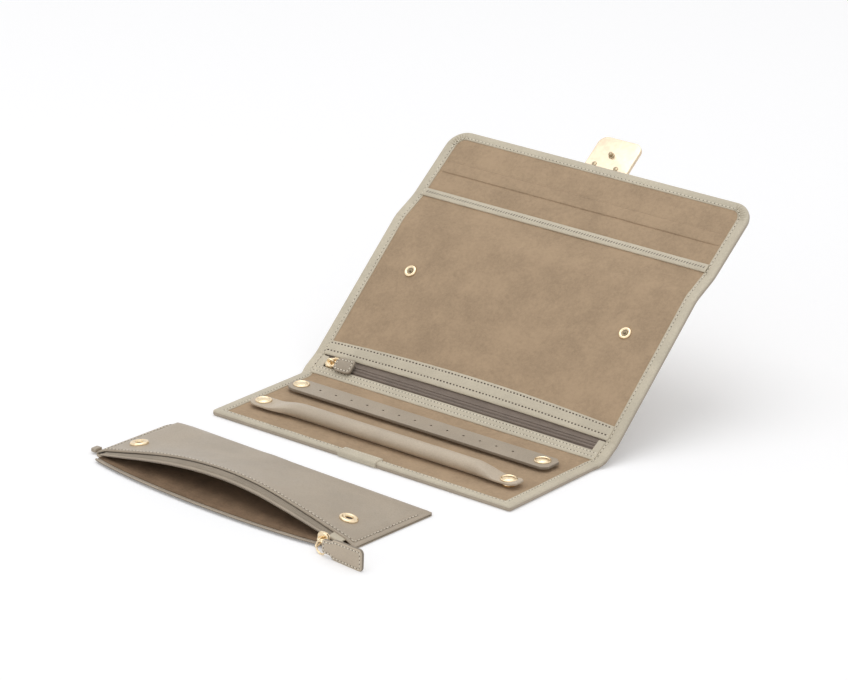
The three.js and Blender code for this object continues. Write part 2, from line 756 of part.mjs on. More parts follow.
// Flap: two flat slip pockets whose mouths face the fold, and the clasp at its edge
function makeFlap() {
  const near = creaseSetback;
  const inner = flapHeight - flapBorder - layerGap;
  const corner = flapCornerRadius - flapBorder - layerGap;
  const sheet = { width: backWidth, side: sideBorder };
  const claspLow = -panelThickness - layerGap - claspLipThickness;
  const claspTop = claspLow + claspThickness;
  addPiece(flap, 'flap_cover', coverWithBorders({
    width: backWidth,
    near,
    far: flapHeight,
    side: sideBorder,
    farBorder: flapBorder,
    radii: [0, 0, flapCornerRadius, flapCornerRadius],
  }), coverLeather);
  const rounded = [0, 0, corner, corner];
  addPiece(flap, 'flap_board', recessSheet({
    ...sheet, near, far: inner, low: boardLow, high: boardLow + backBoardThickness,
    radii: rounded,
  }), greyBoard);
  addPiece(flap, 'flap_lining', recessSheet({
    ...sheet, near, far: inner, low: baseLiningLow, high: baseLiningTop, radii: rounded,
  }), suede);
  addPiece(flap, 'flap_pocket_lower', recessSheet({
    ...sheet, near: pocketTrimStart, far: pocketSlit - slitGap,
    low: liningLow, high: liningTop,
  }), suede);
  addPiece(flap, 'flap_pocket_upper', recessSheet({
    ...sheet, near: pocketSlit, far: inner, low: liningLow, high: liningTop, radii: rounded,
  }), suede);
  const half = backWidth / 2 - sideBorder - layerGap;
  addPiece(flap, 'pocket_trim', block(
    -half, pocketTrimStart, facingLow, half, pocketTrimStart + pocketTrimWidth, facingTop,
  ), facingLeather);

  // The clasp plate has a thin lip riveted under the flap's edge and reaches past it.
  const halfPlate = claspWidth / 2;
  const edge = flapHeight + layerGap;
  const corners = [1, 1, claspCornerRadius, claspCornerRadius];
  const plate = slab(outline(
    -halfPlate, flapHeight - claspLip, halfPlate, flapHeight + claspReach, corners,
  ), claspLow, claspTop, 5);
  const underFlap = block(
    -claspWidth, -flapHeight, claspLow + claspLipThickness, claspWidth, edge, claspTop + 1,
  );
  const studHole = upright(claspStudRadius + layerGap, 4 * claspThickness)
    .translate(0, flapHeight + claspStudReach, claspLow);
  const rivetHoles = [-1, 1].map((side) => upright(claspRivetRadius + layerGap, 4 * claspThickness)
    .translate(side * claspRivetSpacing / 2, flapHeight + claspRivetReach, claspLow));
  addPiece(flap, 'clasp_plate', cut(plate, underFlap, studHole, ...rivetHoles), palePlate);

  const flangeLow = claspTop + layerGap;
  const flangeTop = flangeLow + claspFlangeHeight;
  const studTop = foldClearance + lockEngagement;
  const stud = turned([
    [0, claspLow],
    [claspStudRadius, claspLow],
    [claspStudRadius, flangeLow],
    [claspStudRadius + claspFlangeWidth, flangeLow],
    [claspStudRadius + claspFlangeWidth, flangeTop],
    [claspStudRadius, flangeTop],
    [claspStudRadius, studTop - claspStudChamfer],
    [claspStudRadius - claspStudChamfer, studTop],
    [0, studTop],
  ]);
  addPiece(flap, 'clasp_stud', stud.translate(0, flapHeight + claspStudReach, 0), paleGold);
  for (const [name, side] of [['clasp_rivet_left', -1], ['clasp_rivet_right', 1]]) {
    const rivet = turned([
      [0, claspLow],
      [claspRivetRadius, claspLow],
      [claspRivetRadius, flangeLow],
      [claspRivetRadius + claspRivetHeadWidth, flangeLow],
      [0.5 * claspRivetRadius, flangeTop],
      [0, flangeTop],
    ], 14);
    addPiece(flap, name, rivet.translate(
      side * claspRivetSpacing / 2, flapHeight + claspRivetReach, 0,
    ), paleGold);
  }
}

// Pouch: two leather panels sewn at the back and the sides, whose front edges gape.
// Its own frame has the back edge along X and depth running towards negative Y.
const pouch = new THREE.Group();
pouch.position.set(pouchX, pouchBack, 0);
pouch.rotation.z = radians(pouchTurn);
jewelryRoll.add(pouch);

const pouchHalf = pouchWidth / 2;
const pouchFloorTop = pouchLeather + layerGap;

// How much of the full gape the mouth has at a place along the pouch.
function gape(x) {
  return Math.cos(Math.PI / 2 * Math.min(Math.abs(x) / pouchHalf, 1)) ** 1.1;
}

function mouthBow(x) {
  return pouchMouthBow * Math.max(1 - (x / pouchHalf) ** 2, 0) ** 0.6;
}

// Underside of the upper panel at a place along the pouch and a distance from its back edge.
function upperPanel(x, reach) {
  const seam = Math.min(pouchHalf - Math.abs(x), reach) / pouchHem;
  const lift = pouchMouthRise * gape(x) * (reach / pouchDepth) ** 1.5;
  return new THREE.Vector3(
    x,
    -Math.sqrt(Math.max(reach ** 2 - lift ** 2, 0)),
    pouchFloorTop + pouchPuff * THREE.MathUtils.smoothstep(seam, 0, 1) + lift,
  );
}

// A closed sheet over a grid: under gives the lower face, and the sheet is as thick all over.
function sheet(under, { from, to, near, far, thickness, columns, rows }) {
  const positions = [];
  const indices = [];
  const across = rows + 1;
  const layer = (columns + 1) * across;
  for (const rise of [0, thickness]) {
    for (let i = 0; i <= columns; i += 1) {
      for (let j = 0; j <= rows; j += 1) {
        const x = from + (to - from) * i / columns;
        const point = under(x, near + (far - near) * j / rows);
        positions.push(point.x, point.y, point.z + rise);
      }
    }
  }
  const quad = (a, b, c, d) => indices.push(a, b, c, a, c, d);
  for (let i = 0; i < columns; i += 1) {
    for (let j = 0; j < rows; j += 1) {
      const a = i * across + j;
      quad(a, a + across, a + across + 1, a + 1);
      quad(a + layer, a + layer + 1, a + layer + across + 1, a + layer + across);
    }
  }
  for (let i = 0; i < columns; i += 1) {
    const a = i * across;
    const b = a + rows;
    quad(a, a + layer, a + layer + across, a + across);
    quad(b, b + across, b + layer + across, b + layer);
  }
  for (let j = 0; j < rows; j += 1) {
    const b = columns * across + j;
    quad(j, j + 1, j + layer + 1, j + layer);
    quad(b, b + layer, b + layer + 1, b + 1);
  }
  const geometry = new THREE.BufferGeometry();
  geometry.setAttribute('position', new THREE.Float32BufferAttribute(positions, 3));
  geometry.setIndex(indices);
  return geometry;
}

// The flat outline of the lower panel, or of a strip along its bowed front edge.
function bowedOutline(half, back, front, corner) {
  const steps = 28;
  const shape = new THREE.Shape();
  shape.moveTo(-half, back - corner);
  for (let i = 0; i <= steps; i += 1) {
    const x = -half + 2 * half * i / steps;
    shape.lineTo(x, -front - mouthBow(x));
  }
  shape.lineTo(half, back - corner);
  if (corner) shape.absarc(half - corner, back - corner, corner, 0, Math.PI / 2, false);
  if (corner) shape.absarc(-half + corner, back - corner, corner, Math.PI / 2, Math.PI, false);
  return shape;
}

function bowedStrip(half, near, far, low, high) {
  const steps = 28;
  const shape = new THREE.Shape();
  const place = (i) => -half + 2 * half * i / steps;
  shape.moveTo(-half, -near - mouthBow(-half));
  for (let i = 0; i <= steps; i += 1) shape.lineTo(place(i), -far - mouthBow(place(i)));
  for (let i = steps; i > 0; i -= 1) shape.lineTo(place(i), -near - mouthBow(place(i)));
  return slab(shape, low, high);
}

function makePouch() {
  const whole = {
    from: -pouchHalf, to: pouchHalf, near: 0, far: pouchDepth, thickness: pouchLeather,
    columns: 28, rows: 8,
  };
  const corners = slab(outline(
    -pouchHalf - 1, -pouchDepth - 1, pouchHalf + 1, 1e-3,
    [0, 0, pouchBackCorner + 1, pouchBackCorner + 1],
  ), -1, pouchMouthRise + pouchDepth);
  const upper = toGeometry(toSolid(sheet(upperPanel, whole)).intersect(toSolid(corners)));
  addPiece(pouch, 'pouch_top', upper, coverLeather);
  addPiece(pouch, 'pouch_bottom', slab(
    bowedOutline(pouchHalf, 0, pouchDepth, pouchBackCorner), 0, pouchLeather,
  ), coverLeather);

  const inner = pouchHalf - pouchHem;
  const liningFar = pouchDepth - pouchTapeTuck - layerGap;
  addPiece(pouch, 'pouch_lining_top', sheet(
    (x, reach) => upperPanel(x, reach).add(new THREE.Vector3(0, 0, -layerGap - pouchLining)),
    {
      from: -inner, to: inner, near: pouchHem, far: liningFar - 1, thickness: pouchLining,
      columns: 24, rows: 6,
    },
  ), pouchSuede);
  addPiece(pouch, 'pouch_lining_bottom', slab(
    bowedOutline(inner, -pouchHem, liningFar, 0), pouchFloorTop, pouchFloorTop + pouchLining,
  ), pouchSuede);

  // Zip tapes along both edges of the mouth
  const tapeHalf = pouchHalf - pouchTapeInset;
  addPiece(pouch, 'pouch_tape_bottom', bowedStrip(
    tapeHalf, pouchDepth - pouchTapeTuck, pouchDepth + pouchTapeWidth,
    pouchFloorTop, pouchFloorTop + pouchTapeThickness,
  ), zipCloth);
  const upperTape = (x, reach) => {
    const edge = upperPanel(x, pouchDepth);
    const droop = pouchTapeDroop * gape(x) / pouchTapeWidth;
    const tucked = upperPanel(x, Math.min(reach, pouchDepth));
    const past = Math.max(reach - pouchDepth, 0);
    return new THREE.Vector3(
      x,
      past ? edge.y - past * Math.sqrt(1 - droop ** 2) : tucked.y,
      tucked.z - layerGap - pouchTapeThickness - past * droop,
    );
  };
  addPiece(pouch, 'pouch_tape_top', sheet(upperTape, {
    from: -tapeHalf, to: tapeHalf, near: pouchDepth - pouchTapeTuck,
    far: pouchDepth + pouchTapeWidth, thickness: pouchTapeThickness, columns: 28, rows: 4,
  }), zipCloth);
  addPiece(pouch, 'pouch_tape_end', block(
    -pouchHalf - layerGap - pouchTapeEnd, -pouchDepth - 1, pouchFloorTop,
    -pouchHalf - layerGap, -pouchDepth - 1 + pouchTapeEndDepth, pouchFloorTop + pouchTapeEndHeight,
  ), zipCloth);

  // Snap sockets on the upper panel, spaced like the studs on the back panel and set a little
  // to the left of the pouch's middle
  for (const [name, side] of [['pouch_socket_left', -1], ['pouch_socket_right', 1]]) {
    const x = side * pouchStudSpacing / 2 + pouchSocketShift;
    const at = upperPanel(x, pouchSocketDepth);
    const along = upperPanel(x + 1, pouchSocketDepth).sub(at);
    const down = upperPanel(x, pouchSocketDepth + 1).sub(at);
    const normal = down.cross(along).normalize();
    const seat = new THREE.Group();
    seat.position.copy(at).add(new THREE.Vector3(0, 0, pouchLeather + layerGap));
    seat.quaternion.setFromUnitVectors(new THREE.Vector3(0, 0, 1), normal);
    pouch.add(seat);
    const hole = pouchStudKnobRadius + runningGap;
    addPiece(seat, name, turned([
      [hole, 0],
      [pouchSocketRadius, 0],
      [pouchSocketRadius, 0.35 * pouchSocketHeight],
      [0.8 * pouchSocketRadius, pouchSocketHeight],
      [0.55 * pouchSocketRadius, pouchSocketHeight],
      [hole, 0.6 * pouchSocketHeight],
      [hole, 0],
    ]), paleGold);
  }

  // The slider and its pull pass over the lower tape, which bows out along the mouth
  const tapeTop = pouchFloorTop + pouchTapeThickness;
  const sliderX = pouchHalf - pouchSliderInset;
  const clearOfUpperTape = pouchDepth + pouchTapeWidth + runningGap;
  const ringReach = ringRadius + wireRadius;
  makeZipPull(pouch, 'pouch', {
    place: new THREE.Vector3(
      sliderX,
      -Math.max(clearOfUpperTape, pouchDepth + mouthBow(sliderX) + pouchTapeWidth / 2),
      tapeTop + runningGap + Math.max(sliderWidth / 2, ringReach),
    ),
    stand: 90,
    tabLength: pouchTabLength,
    tabDrop: Math.min(ringReach - tabWidth / 2, 0),
    turn: pouchPullTurn,
  });
}

makeFrontPanel();
makeRingRoll();
makeEarringStrap();
makeBottomSpine();
makeBack();
makeTopSpine();
makeFlap();
makePouch();

export default jewelryRoll;
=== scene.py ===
"""Long jewelry roll, lying open with its loose zip pouch before it: the looks of every piece."""
import json
import math

import bmesh
import bpy
from bpy.props import FloatProperty, FloatVectorProperty, PointerProperty
from mathutils import Matrix, Vector, noise


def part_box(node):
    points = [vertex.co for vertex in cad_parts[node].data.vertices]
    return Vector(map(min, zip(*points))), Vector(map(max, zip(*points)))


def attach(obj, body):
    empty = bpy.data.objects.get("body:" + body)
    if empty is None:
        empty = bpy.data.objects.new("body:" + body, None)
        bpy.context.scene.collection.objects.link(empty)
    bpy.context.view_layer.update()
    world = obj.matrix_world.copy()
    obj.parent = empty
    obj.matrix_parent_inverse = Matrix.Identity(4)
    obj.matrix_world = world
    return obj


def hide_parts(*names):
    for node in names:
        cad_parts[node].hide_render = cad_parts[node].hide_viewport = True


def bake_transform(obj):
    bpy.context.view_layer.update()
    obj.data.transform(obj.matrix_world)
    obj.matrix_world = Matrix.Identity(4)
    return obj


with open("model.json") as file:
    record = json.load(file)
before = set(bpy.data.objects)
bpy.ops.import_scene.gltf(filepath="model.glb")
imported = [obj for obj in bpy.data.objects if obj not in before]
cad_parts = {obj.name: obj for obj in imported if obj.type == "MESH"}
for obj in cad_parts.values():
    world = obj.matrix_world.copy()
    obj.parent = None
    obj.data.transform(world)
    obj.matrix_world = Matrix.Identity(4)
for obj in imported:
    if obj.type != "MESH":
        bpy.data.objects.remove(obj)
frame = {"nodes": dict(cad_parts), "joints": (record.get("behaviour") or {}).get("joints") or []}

bl_info = {
    "name": "Jewelry Roll",
    "version": (1, 0, 0),
    "blender": (4, 5, 0),
    "location": "3D View > Sidebar > Jewelry Roll",
    "description": "Builds the leather, suede, zips and fittings of an open jewelry roll",
    "category": "Object",
}

MM = 0.001
UP = Vector((0, 0, 1))
RAISED_BODIES = ("front_panel", "bottom_spine", "back_panel", "top_spine", "flap")
JOINTS = {joint["name"]: joint for joint in frame["joints"]}


def low_corner(node):
    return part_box(node)[0] / MM


def high_corner(node):
    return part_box(node)[1] / MM


def srgb(red, green, blue):
    """A colour given as it looks on a screen, from 0 to 255, in Blender's linear values."""
    def linear(level):
        share = level / 255
        return share / 12.92 if share <= 0.04045 else ((share + 0.055) / 1.055) ** 2.4
    return (linear(red), linear(green), linear(blue))


def lerp(a, b, t):
    return a + (b - a) * t


def smoothstep(t):
    t = min(max(t, 0.0), 1.0)
    return t * t * (3 - 2 * t)


def steps(start, end, pitch):
    """Evenly spaced places from start to end, about a pitch apart."""
    count = max(1, round(abs(end - start) / pitch))
    return [lerp(start, end, i / count) for i in range(count + 1)]


def wander(x, y, seed, scale, amount):
    """A slow, even wave over a surface, the same on every run."""
    return amount * noise.noise(Vector((x / scale, y / scale, seed)))


# Panels, in millimetres: the lining side is level 0 and the outer face is -THICKNESS
THICKNESS = JOINTS["front_fold"]["pos_m"][2] / MM
FLAP_LEAN = math.radians(38)
SIDE_BORDER = 8.0
FRONT_BORDER = 6.0
FLAP_BORDER = 6.5
FRONT_CORNER = 2.0
FLAP_CORNER = 14.0
FRONT_HALF = high_corner("front_cover").x
BACK_HALF = high_corner("back_cover").x
LINING_TOP = -0.2
FACING_LOW = 0.1
FACING_TOP = 0.75
BEND_REACH = (4.5, 3.4, 3.2, 3.2)
BLEND_REACH = 4.0


def upright(direction):
    """The way off the lining side, where the fold runs in this direction."""
    return Vector((0, -direction.z, direction.y))


class Fold:
    """The roll's side line through its four creases, by the length along it from the front edge."""

    def __init__(self):
        self.corners = [Vector((0, low_corner("front_cover").y, THICKNESS))]
        for name in ("front_fold", "back_fold", "top_fold", "flap_fold"):
            self.corners.append(Vector(JOINTS[name]["pos_m"]) / MM)
        last = self.corners[-1]
        rise = high_corner("flap_cover").z - last.z
        self.corners.append(last + Vector((0, rise / math.tan(FLAP_LEAN), rise)))
        self.starts = [0.0]
        for a, b in zip(self.corners, self.corners[1:]):
            self.starts.append(self.starts[-1] + (b - a).length)
        self.creases = self.starts[1:5]
        self.end = self.starts[5]

    def line(self, s):
        """The point and the direction at a length along the fold."""
        for k, crease in enumerate(self.creases):
            reach = BEND_REACH[k]
            if abs(s - crease) < reach:
                corner = self.corners[k + 1]
                before = (corner - self.corners[k]).normalized()
                after = (self.corners[k + 2] - corner).normalized()
                t = (s - crease + reach) / (2 * reach)
                a = corner - before * reach
                b = corner + after * reach
                point = a * (1 - t) ** 2 + corner * (2 * t * (1 - t)) + b * t ** 2
                return point, (before * (1 - t) + after * t).normalized()
        k = max(i for i in range(5) if i == 0 or s >= self.starts[i])
        direction = (self.corners[k + 1] - self.corners[k]).normalized()
        return self.corners[k] + direction * (s - self.starts[k]), direction

    def place(self, x, s, w=0.0):
        """The point at x across the roll, s along the fold and w above the lining side."""
        point, direction = self.line(s)
        return Vector((x, 0, 0)) + point + upright(direction) * w

    def up(self, s):
        return upright(self.line(s)[1])


FOLD = Fold()
CREASE = FOLD.creases
SPINE_CUT = (CREASE[0] + CREASE[1]) / 2
BACK_CUT = (CREASE[1] + CREASE[2]) / 2
TOP_CUT = (CREASE[2] + CREASE[3]) / 2
CUTS = (SPINE_CUT, BACK_CUT, TOP_CUT)


def fold_stations(start, end, coarse=4.0, fine=0.9):
    """Lengths along the fold from start to end, close together where it bends."""
    marks = {start, end}
    for crease, reach in zip(CREASE, BEND_REACH):
        if start - reach < crease < end + reach:
            marks.update(
                s for s in steps(crease - reach, crease + reach, fine) if start < s < end)
    ordered = sorted(marks)
    filled = []
    for a, b in zip(ordered, ordered[1:]):
        filled += steps(a, b, coarse)[:-1]
    return filled + [ordered[-1]]


# Mesh building

MERGE = 0.0008


def circle(count, start=0.0):
    """Cosines and sines of evenly spaced angles, once round."""
    angles = [2 * math.pi * (i + start) / count for i in range(count)]
    return [(math.cos(angle), math.sin(angle)) for angle in angles]


def signed_power(value, power):
    """A power that keeps its value's sign, to square off a round."""
    return math.copysign(abs(value) ** power, value)


def finish_mesh(name, bm, *kinds, sharp=38):
    """Closes up a mesh drawn in millimetres, turns its faces outward and makes it an object."""
    bmesh.ops.remove_doubles(bm, verts=bm.verts, dist=MERGE)
    bmesh.ops.dissolve_degenerate(bm, dist=MERGE / 2, edges=bm.edges)
    bmesh.ops.recalc_face_normals(bm, faces=bm.faces)
    bmesh.ops.scale(bm, vec=(MM, MM, MM), verts=bm.verts)
    mesh = bpy.data.meshes.new(name)
    bm.to_mesh(mesh)
    bm.free()
    for kind in kinds:
        mesh.materials.append(finish(kind))
    mesh.shade_smooth()
    mesh.set_sharp_from_angle(angle=math.radians(sharp))
    return add_object(name, mesh)


def add_object(name, data):
    obj = bpy.data.objects.new(name, data)
    bpy.context.scene.collection.objects.link(obj)
    return obj


def add_grid(bm, rows, material=0):
    """Quads over rows of points, each row as long as the next."""
    made = [[bm.verts.new(point) for point in row] for row in rows]
    for near, far in zip(made, made[1:]):
        for i in range(len(near) - 1):
            face = bm.faces.new((near[i], near[i + 1], far[i + 1], far[i]))
            face.material_index = material


def add_sheet(bm, upper, lower, past=None):
    """Two grids joined at their edges; past tells which rows take the second material."""
    past = past or [0] * len(upper)
    for i in range(len(upper) - 1):
        for rows in (upper, lower):
            add_grid(bm, rows[i:i + 2], past[i])
    for edge in (0, -1):
        add_grid(bm, [upper[edge], lower[edge]], past[edge])
        add_grid(bm, [[row[edge] for row in rows] for rows in (upper, lower)])


def cut_wide_faces(bm):
    """Cuts faces of many corners into triangles, also where they are hollow in outline."""
    bm.normal_update()
    bmesh.ops.triangulate(bm, faces=[face for face in bm.faces if len(face.verts) > 4])


def close_holes(bm):
    """Fills every open edge loop that is left once the doubles are merged."""
    bmesh.ops.remove_doubles(bm, verts=bm.verts, dist=MERGE)
    open_edges = [edge for edge in bm.edges if len(edge.link_faces) == 1]
    bmesh.ops.holes_fill(bm, edges=open_edges, sides=0)
    cut_wide_faces(bm)


def add_rings(bm, rings, capped=True):
    """A skin over closed rings of points, with a face on the first ring and on the last."""
    made = [[bm.verts.new(point) for point in ring] for ring in rings]
    for near, far in zip(made, made[1:]):
        for i, vert in enumerate(near):
            j = (i + 1) % len(near)
            bm.faces.new((vert, near[j], far[j], far[i]))
    if capped:
        bm.faces.new(made[0])
        bm.faces.new(made[-1])
    return made


def sheet_piece(name, xs, ss, top, thickness, kind, place=FOLD.place):
    """A closed sheet over a grid: top gives the upper level, and the sheet is as thick all over."""
    bm = bmesh.new()
    upper, lower = (
        [[place(x, s, top(x, s) - drop) for x in xs] for s in ss] for drop in (0, thickness))
    add_sheet(bm, upper, lower)
    return finish_mesh(name, bm, kind)


def edged(start, end, near, pitch):
    """Places from start to end, close together at both ends."""
    inner = steps(start + near[-1], end - near[-1], pitch)
    close = (0, *near[:-1])
    return [start + d for d in close] + inner + [end - d for d in reversed(close)]


def inset(points, distance):
    """A convex outline drawn in by the same distance all round."""
    drawn = []
    for i, point in enumerate(points):
        before = (point - points[i - 1]).normalized()
        after = (points[(i + 1) % len(points)] - point).normalized()
        a, b = (Vector((-way.y, way.x)) for way in (before, after))
        middle = (a + b).normalized()
        drawn.append(point + middle * (distance / max(middle.dot(a), 0.3)))
    return drawn


def rounded_outline(x0, y0, x1, y1, radii, turns=8, straight=0):
    """A rectangle, anticlockwise, with its own radius at each corner from the lower left."""
    corners = ((x0, y0, 180), (x1, y0, 270), (x1, y1, 0), (x0, y1, 90))
    points = []
    for (cx, cy, start), radius in zip(corners, radii):
        mx = cx + (radius if cx == x0 else -radius)
        my = cy + (radius if cy == y0 else -radius)
        for i in range(turns + 1):
            angle = math.radians(start + 90 * i / turns)
            points.append(Vector((mx + radius * math.cos(angle), my + radius * math.sin(angle))))
    if not straight:
        return points
    filled = []
    for i, point in enumerate(points):
        filled.append(point)
        if i % (turns + 1) == turns:
            following = points[(i + 1) % len(points)]
            filled += [point.lerp(following, k / straight) for k in range(1, straight)]
    return filled


def split_long(points, pitch):
    """The same outline with points added along its long straight sides."""
    split = []
    for i, point in enumerate(points):
        following = points[(i + 1) % len(points)]
        count = max(1, round((following - point).length / pitch))
        split += [point.lerp(following, k / count) for k in range(count)]
    return split


def soft_levels(low, high, round_low, round_high):
    """Insets and levels up the side of a plate with rounded lower and upper edges."""
    arc = [math.radians(22.5 * i) for i in range(5)]
    return [(round_low * (1 - math.sin(a)), low + round_low * (1 - math.cos(a))) for a in arc] + [
        (round_high * (1 - math.cos(a)), high - round_high * (1 - math.sin(a))) for a in arc]


def plate_rings(bm, outline, levels, place):
    """A plate up its levels, each with its outline drawn in by its own amount."""
    add_rings(bm, [
        [place(p.x, p.y, level) for p in (inset(outline, draw) if draw else outline)]
        for draw, level in levels])


def spun_rings(bm, profile, place, core=0.0):
    """A turned shape from radius and height pairs; its core takes the second material."""
    around = circle(40)
    around.append(around[0])
    rows = [[place(radius * c, radius * s, height) for c, s in around]
            for radius, height in profile]
    for i in range(len(rows) - 1):
        wide = max(profile[i][0], profile[i + 1][0])
        add_grid(bm, rows[i:i + 2], 1 if wide <= core else 0)


def tube_rings(bm, points, radius, sides=12, closed=False):
    """A round wire along points."""
    count = len(points)
    rings = []
    side = None
    for i, point in enumerate(points):
        if closed:
            along = points[(i + 1) % count] - points[i - 1]
        else:
            along = points[min(i + 1, count - 1)] - points[max(i - 1, 0)]
        along.normalize()
        if side is None:
            side = along.orthogonal().normalized()
        side = (side - along * side.dot(along)).normalized()
        up = along.cross(side)
        rings.append([point + side * (radius * c) + up * (radius * s) for c, s in circle(sides)])
    made = add_rings(bm, rings, capped=not closed)
    if closed:
        last, first = made[-1], made[0]
        shift = min(range(sides), key=lambda k: (first[k].co - last[0].co).length)
        for k in range(sides):
            near, far = (k + shift) % sides, (k + 1 + shift) % sides
            bm.faces.new((last[k], last[(k + 1) % sides], first[far], first[near]))


# Node trees

class Nodes:
    """A node tree with short words for its nodes: each word adds one and gives its output."""

    def __init__(self, tree):
        self.tree = tree

    def feed(self, socket, value):
        """A link from another node's output, or else a plain value."""
        if hasattr(value, "is_linked"):
            self.tree.links.new(value, socket)
        elif value is not None:
            socket.default_value = value

    def add(self, kind, inputs=(), output=0, **settings):
        node = self.tree.nodes.new(kind)
        for label, value in settings.items():
            setattr(node, label, value)
        for label, value in dict(inputs).items():
            self.feed(node.inputs[label], value)
        return node.outputs[output]

    def find(self, kind):
        return next(node for node in self.tree.nodes if node.type == kind)

    def math(self, operation, a, b=None, clamp=False):
        return self.add("ShaderNodeMath", {0: a, 1: b}, operation=operation, use_clamp=clamp)

    def times(self, a, b):
        return self.math("MULTIPLY", a, b)

    def plus(self, a, b, clamp=False):
        return self.math("ADD", a, b, clamp)

    def noise(self, vector, scale, detail=3.0, roughness=0.55, distortion=0.0):
        return self.add("ShaderNodeTexNoise", {
            "Vector": vector, "Scale": scale, "Detail": detail, "Roughness": roughness,
            "Distortion": distortion}, "Fac")

    def ramp(self, factor, low, high):
        """0 below low, 1 above high, and a smooth rise between."""
        return self.add("ShaderNodeMapRange", {"Value": factor, "From Min": low, "From Max": high},
                        "Result", interpolation_type="SMOOTHSTEP")

    def stretched(self, vector, *scale):
        return self.add("ShaderNodeMapping", {"Vector": vector, "Scale": scale}, "Vector")

    def mix(self, factor, a, b):
        """A mix of two colours: the node's sockets 6 and 7 and its output 2 are the coloured ones."""
        a, b = (c if hasattr(c, "is_linked") else (*c[:3], 1.0) for c in (a, b))
        return self.add("ShaderNodeMix", {0: factor, 6: a, 7: b}, 2, data_type="RGBA")


def shared(maker):
    """Makes a node group on its first use, under its maker's name, and then hands it out."""
    def group():
        if maker.__name__ not in bpy.data.node_groups:
            maker(maker.__name__)
        return bpy.data.node_groups[maker.__name__]
    return group


def new_group(name, inputs, outputs, kind="ShaderNodeTree"):
    """A group's nodes, its input node's outputs and its output node's inputs."""
    tree = bpy.data.node_groups.new(name, kind)
    for way, sockets in (("INPUT", inputs), ("OUTPUT", outputs)):
        for label, holds, *default in sockets:
            socket = tree.interface.new_socket(label, in_out=way, socket_type="NodeSocket" + holds)
            if default:
                socket.default_value = default[0]
    given = tree.nodes.new("NodeGroupInput").outputs
    return Nodes(tree), given, tree.nodes.new("NodeGroupOutput").inputs


# Rows of stitches, holes and teeth by Geometry Nodes

def spaced(points, ups, pitch, start=0.5):
    """Marks a pitch apart along a line: each has its place, its direction and its up."""
    marks = []
    wait = start * pitch
    for i in range(len(points) - 1):
        a, b = points[i], points[i + 1]
        length = (b - a).length
        if length < 1e-9:
            continue
        along = (b - a) / length
        reach = wait
        while reach < length:
            t = reach / length
            marks.append((a.lerp(b, t), along, ups[i].lerp(ups[i + 1], t).normalized()))
            reach += pitch
        wait = reach - length
    return marks


@shared
def row_of_marks(name):
    """Sets a small rounded bar on every mark, turned along the row and standing on its surface."""
    n, given, result = new_group(name, [
        ("Geometry", "Geometry"), ("Length", "Float", 2.2), ("Width", "Float", 0.5),
        ("Height", "Float", 0.4), ("Slant", "Float", 0.0), ("Unevenness", "Float", 0.1),
        ("Seed", "Int", 3), ("Sides", "Int", 8), ("Material", "Material"),
    ], [("Geometry", "Geometry")], "GeometryNodeTree")
    bar = n.add("GeometryNodeMeshUVSphere",
                {"Segments": given["Sides"], "Rings": 5, "Radius": 0.5 * MM}, "Mesh")
    smooth = n.add("GeometryNodeSetShadeSmooth", {"Geometry": bar})
    size = n.add("ShaderNodeCombineXYZ",
                 {"X": given["Length"], "Y": given["Width"], "Z": given["Height"]})
    slant = n.add("ShaderNodeCombineXYZ", {"Z": given["Slant"]})
    shape = n.add("GeometryNodeTransform", {"Geometry": smooth, "Scale": size, "Rotation": slant})
    turn = None
    for attribute, axis, pivot in (("along", "X", "AUTO"), ("up", "Z", "X")):
        read = n.add("GeometryNodeInputNamedAttribute", {"Name": attribute}, "Attribute",
                     data_type="FLOAT_VECTOR")
        turn = n.add("FunctionNodeAlignRotationToVector", {"Rotation": turn, "Vector": read},
                     axis=axis, pivot_axis=pivot)
    least = n.math("SUBTRACT", 1.0, given["Unevenness"])
    most = n.math("ADD", 1.0, given["Unevenness"])
    uneven = n.add("FunctionNodeRandomValue", {2: least, 3: most, "Seed": given["Seed"]}, 1,
                   data_type="FLOAT")
    points = n.add("GeometryNodeMeshToPoints", {"Mesh": given["Geometry"]})
    rows = n.add("GeometryNodeInstanceOnPoints",
                 {"Points": points, "Instance": shape, "Rotation": turn, "Scale": uneven})
    real = n.add("GeometryNodeRealizeInstances", {"Geometry": rows})
    n.feed(result["Geometry"], n.add("GeometryNodeSetMaterial",
                                     {"Geometry": real, "Material": given["Material"]}))


def row_object(name, marks, length, width, height, kind, slant=0.0, uneven=0.1):
    """A plain mesh of small bars on the marks, in millimetres."""
    mesh = bpy.data.meshes.new(name + "_marks")
    mesh.from_pydata([tuple(place * MM) for place, _, _ in marks], [], [])
    for label, index in (("along", 1), ("up", 2)):
        attribute = mesh.attributes.new(label, "FLOAT_VECTOR", "POINT")
        attribute.data.foreach_set("vector", [axis for mark in marks for axis in mark[index]])
    obj = add_object(name, mesh)
    modifier = obj.modifiers.new("row", "NODES")
    modifier.node_group = row_of_marks()
    values = {"Length": length, "Width": width, "Height": height, "Slant": slant,
              "Unevenness": uneven, "Material": finish(kind)}
    for item in modifier.node_group.interface.items_tree:
        if item.in_out == "INPUT" and item.name in values:
            modifier[item.identifier] = values[item.name]
    made = apply_modifier(obj, modifier)
    made.name = name
    for label in ("along", "up"):
        if label in made.attributes:
            made.attributes.remove(made.attributes[label])
    bpy.data.meshes.remove(mesh)
    return obj


def apply_modifier(obj, modifier):
    """Gives the object the mesh that its modifier makes."""
    bpy.context.view_layer.update()
    ready = obj.evaluated_get(bpy.context.evaluated_depsgraph_get())
    made = bpy.data.meshes.new_from_object(ready)
    obj.modifiers.remove(modifier)
    obj.data = made
    return made


# Sizes and colours a user may change

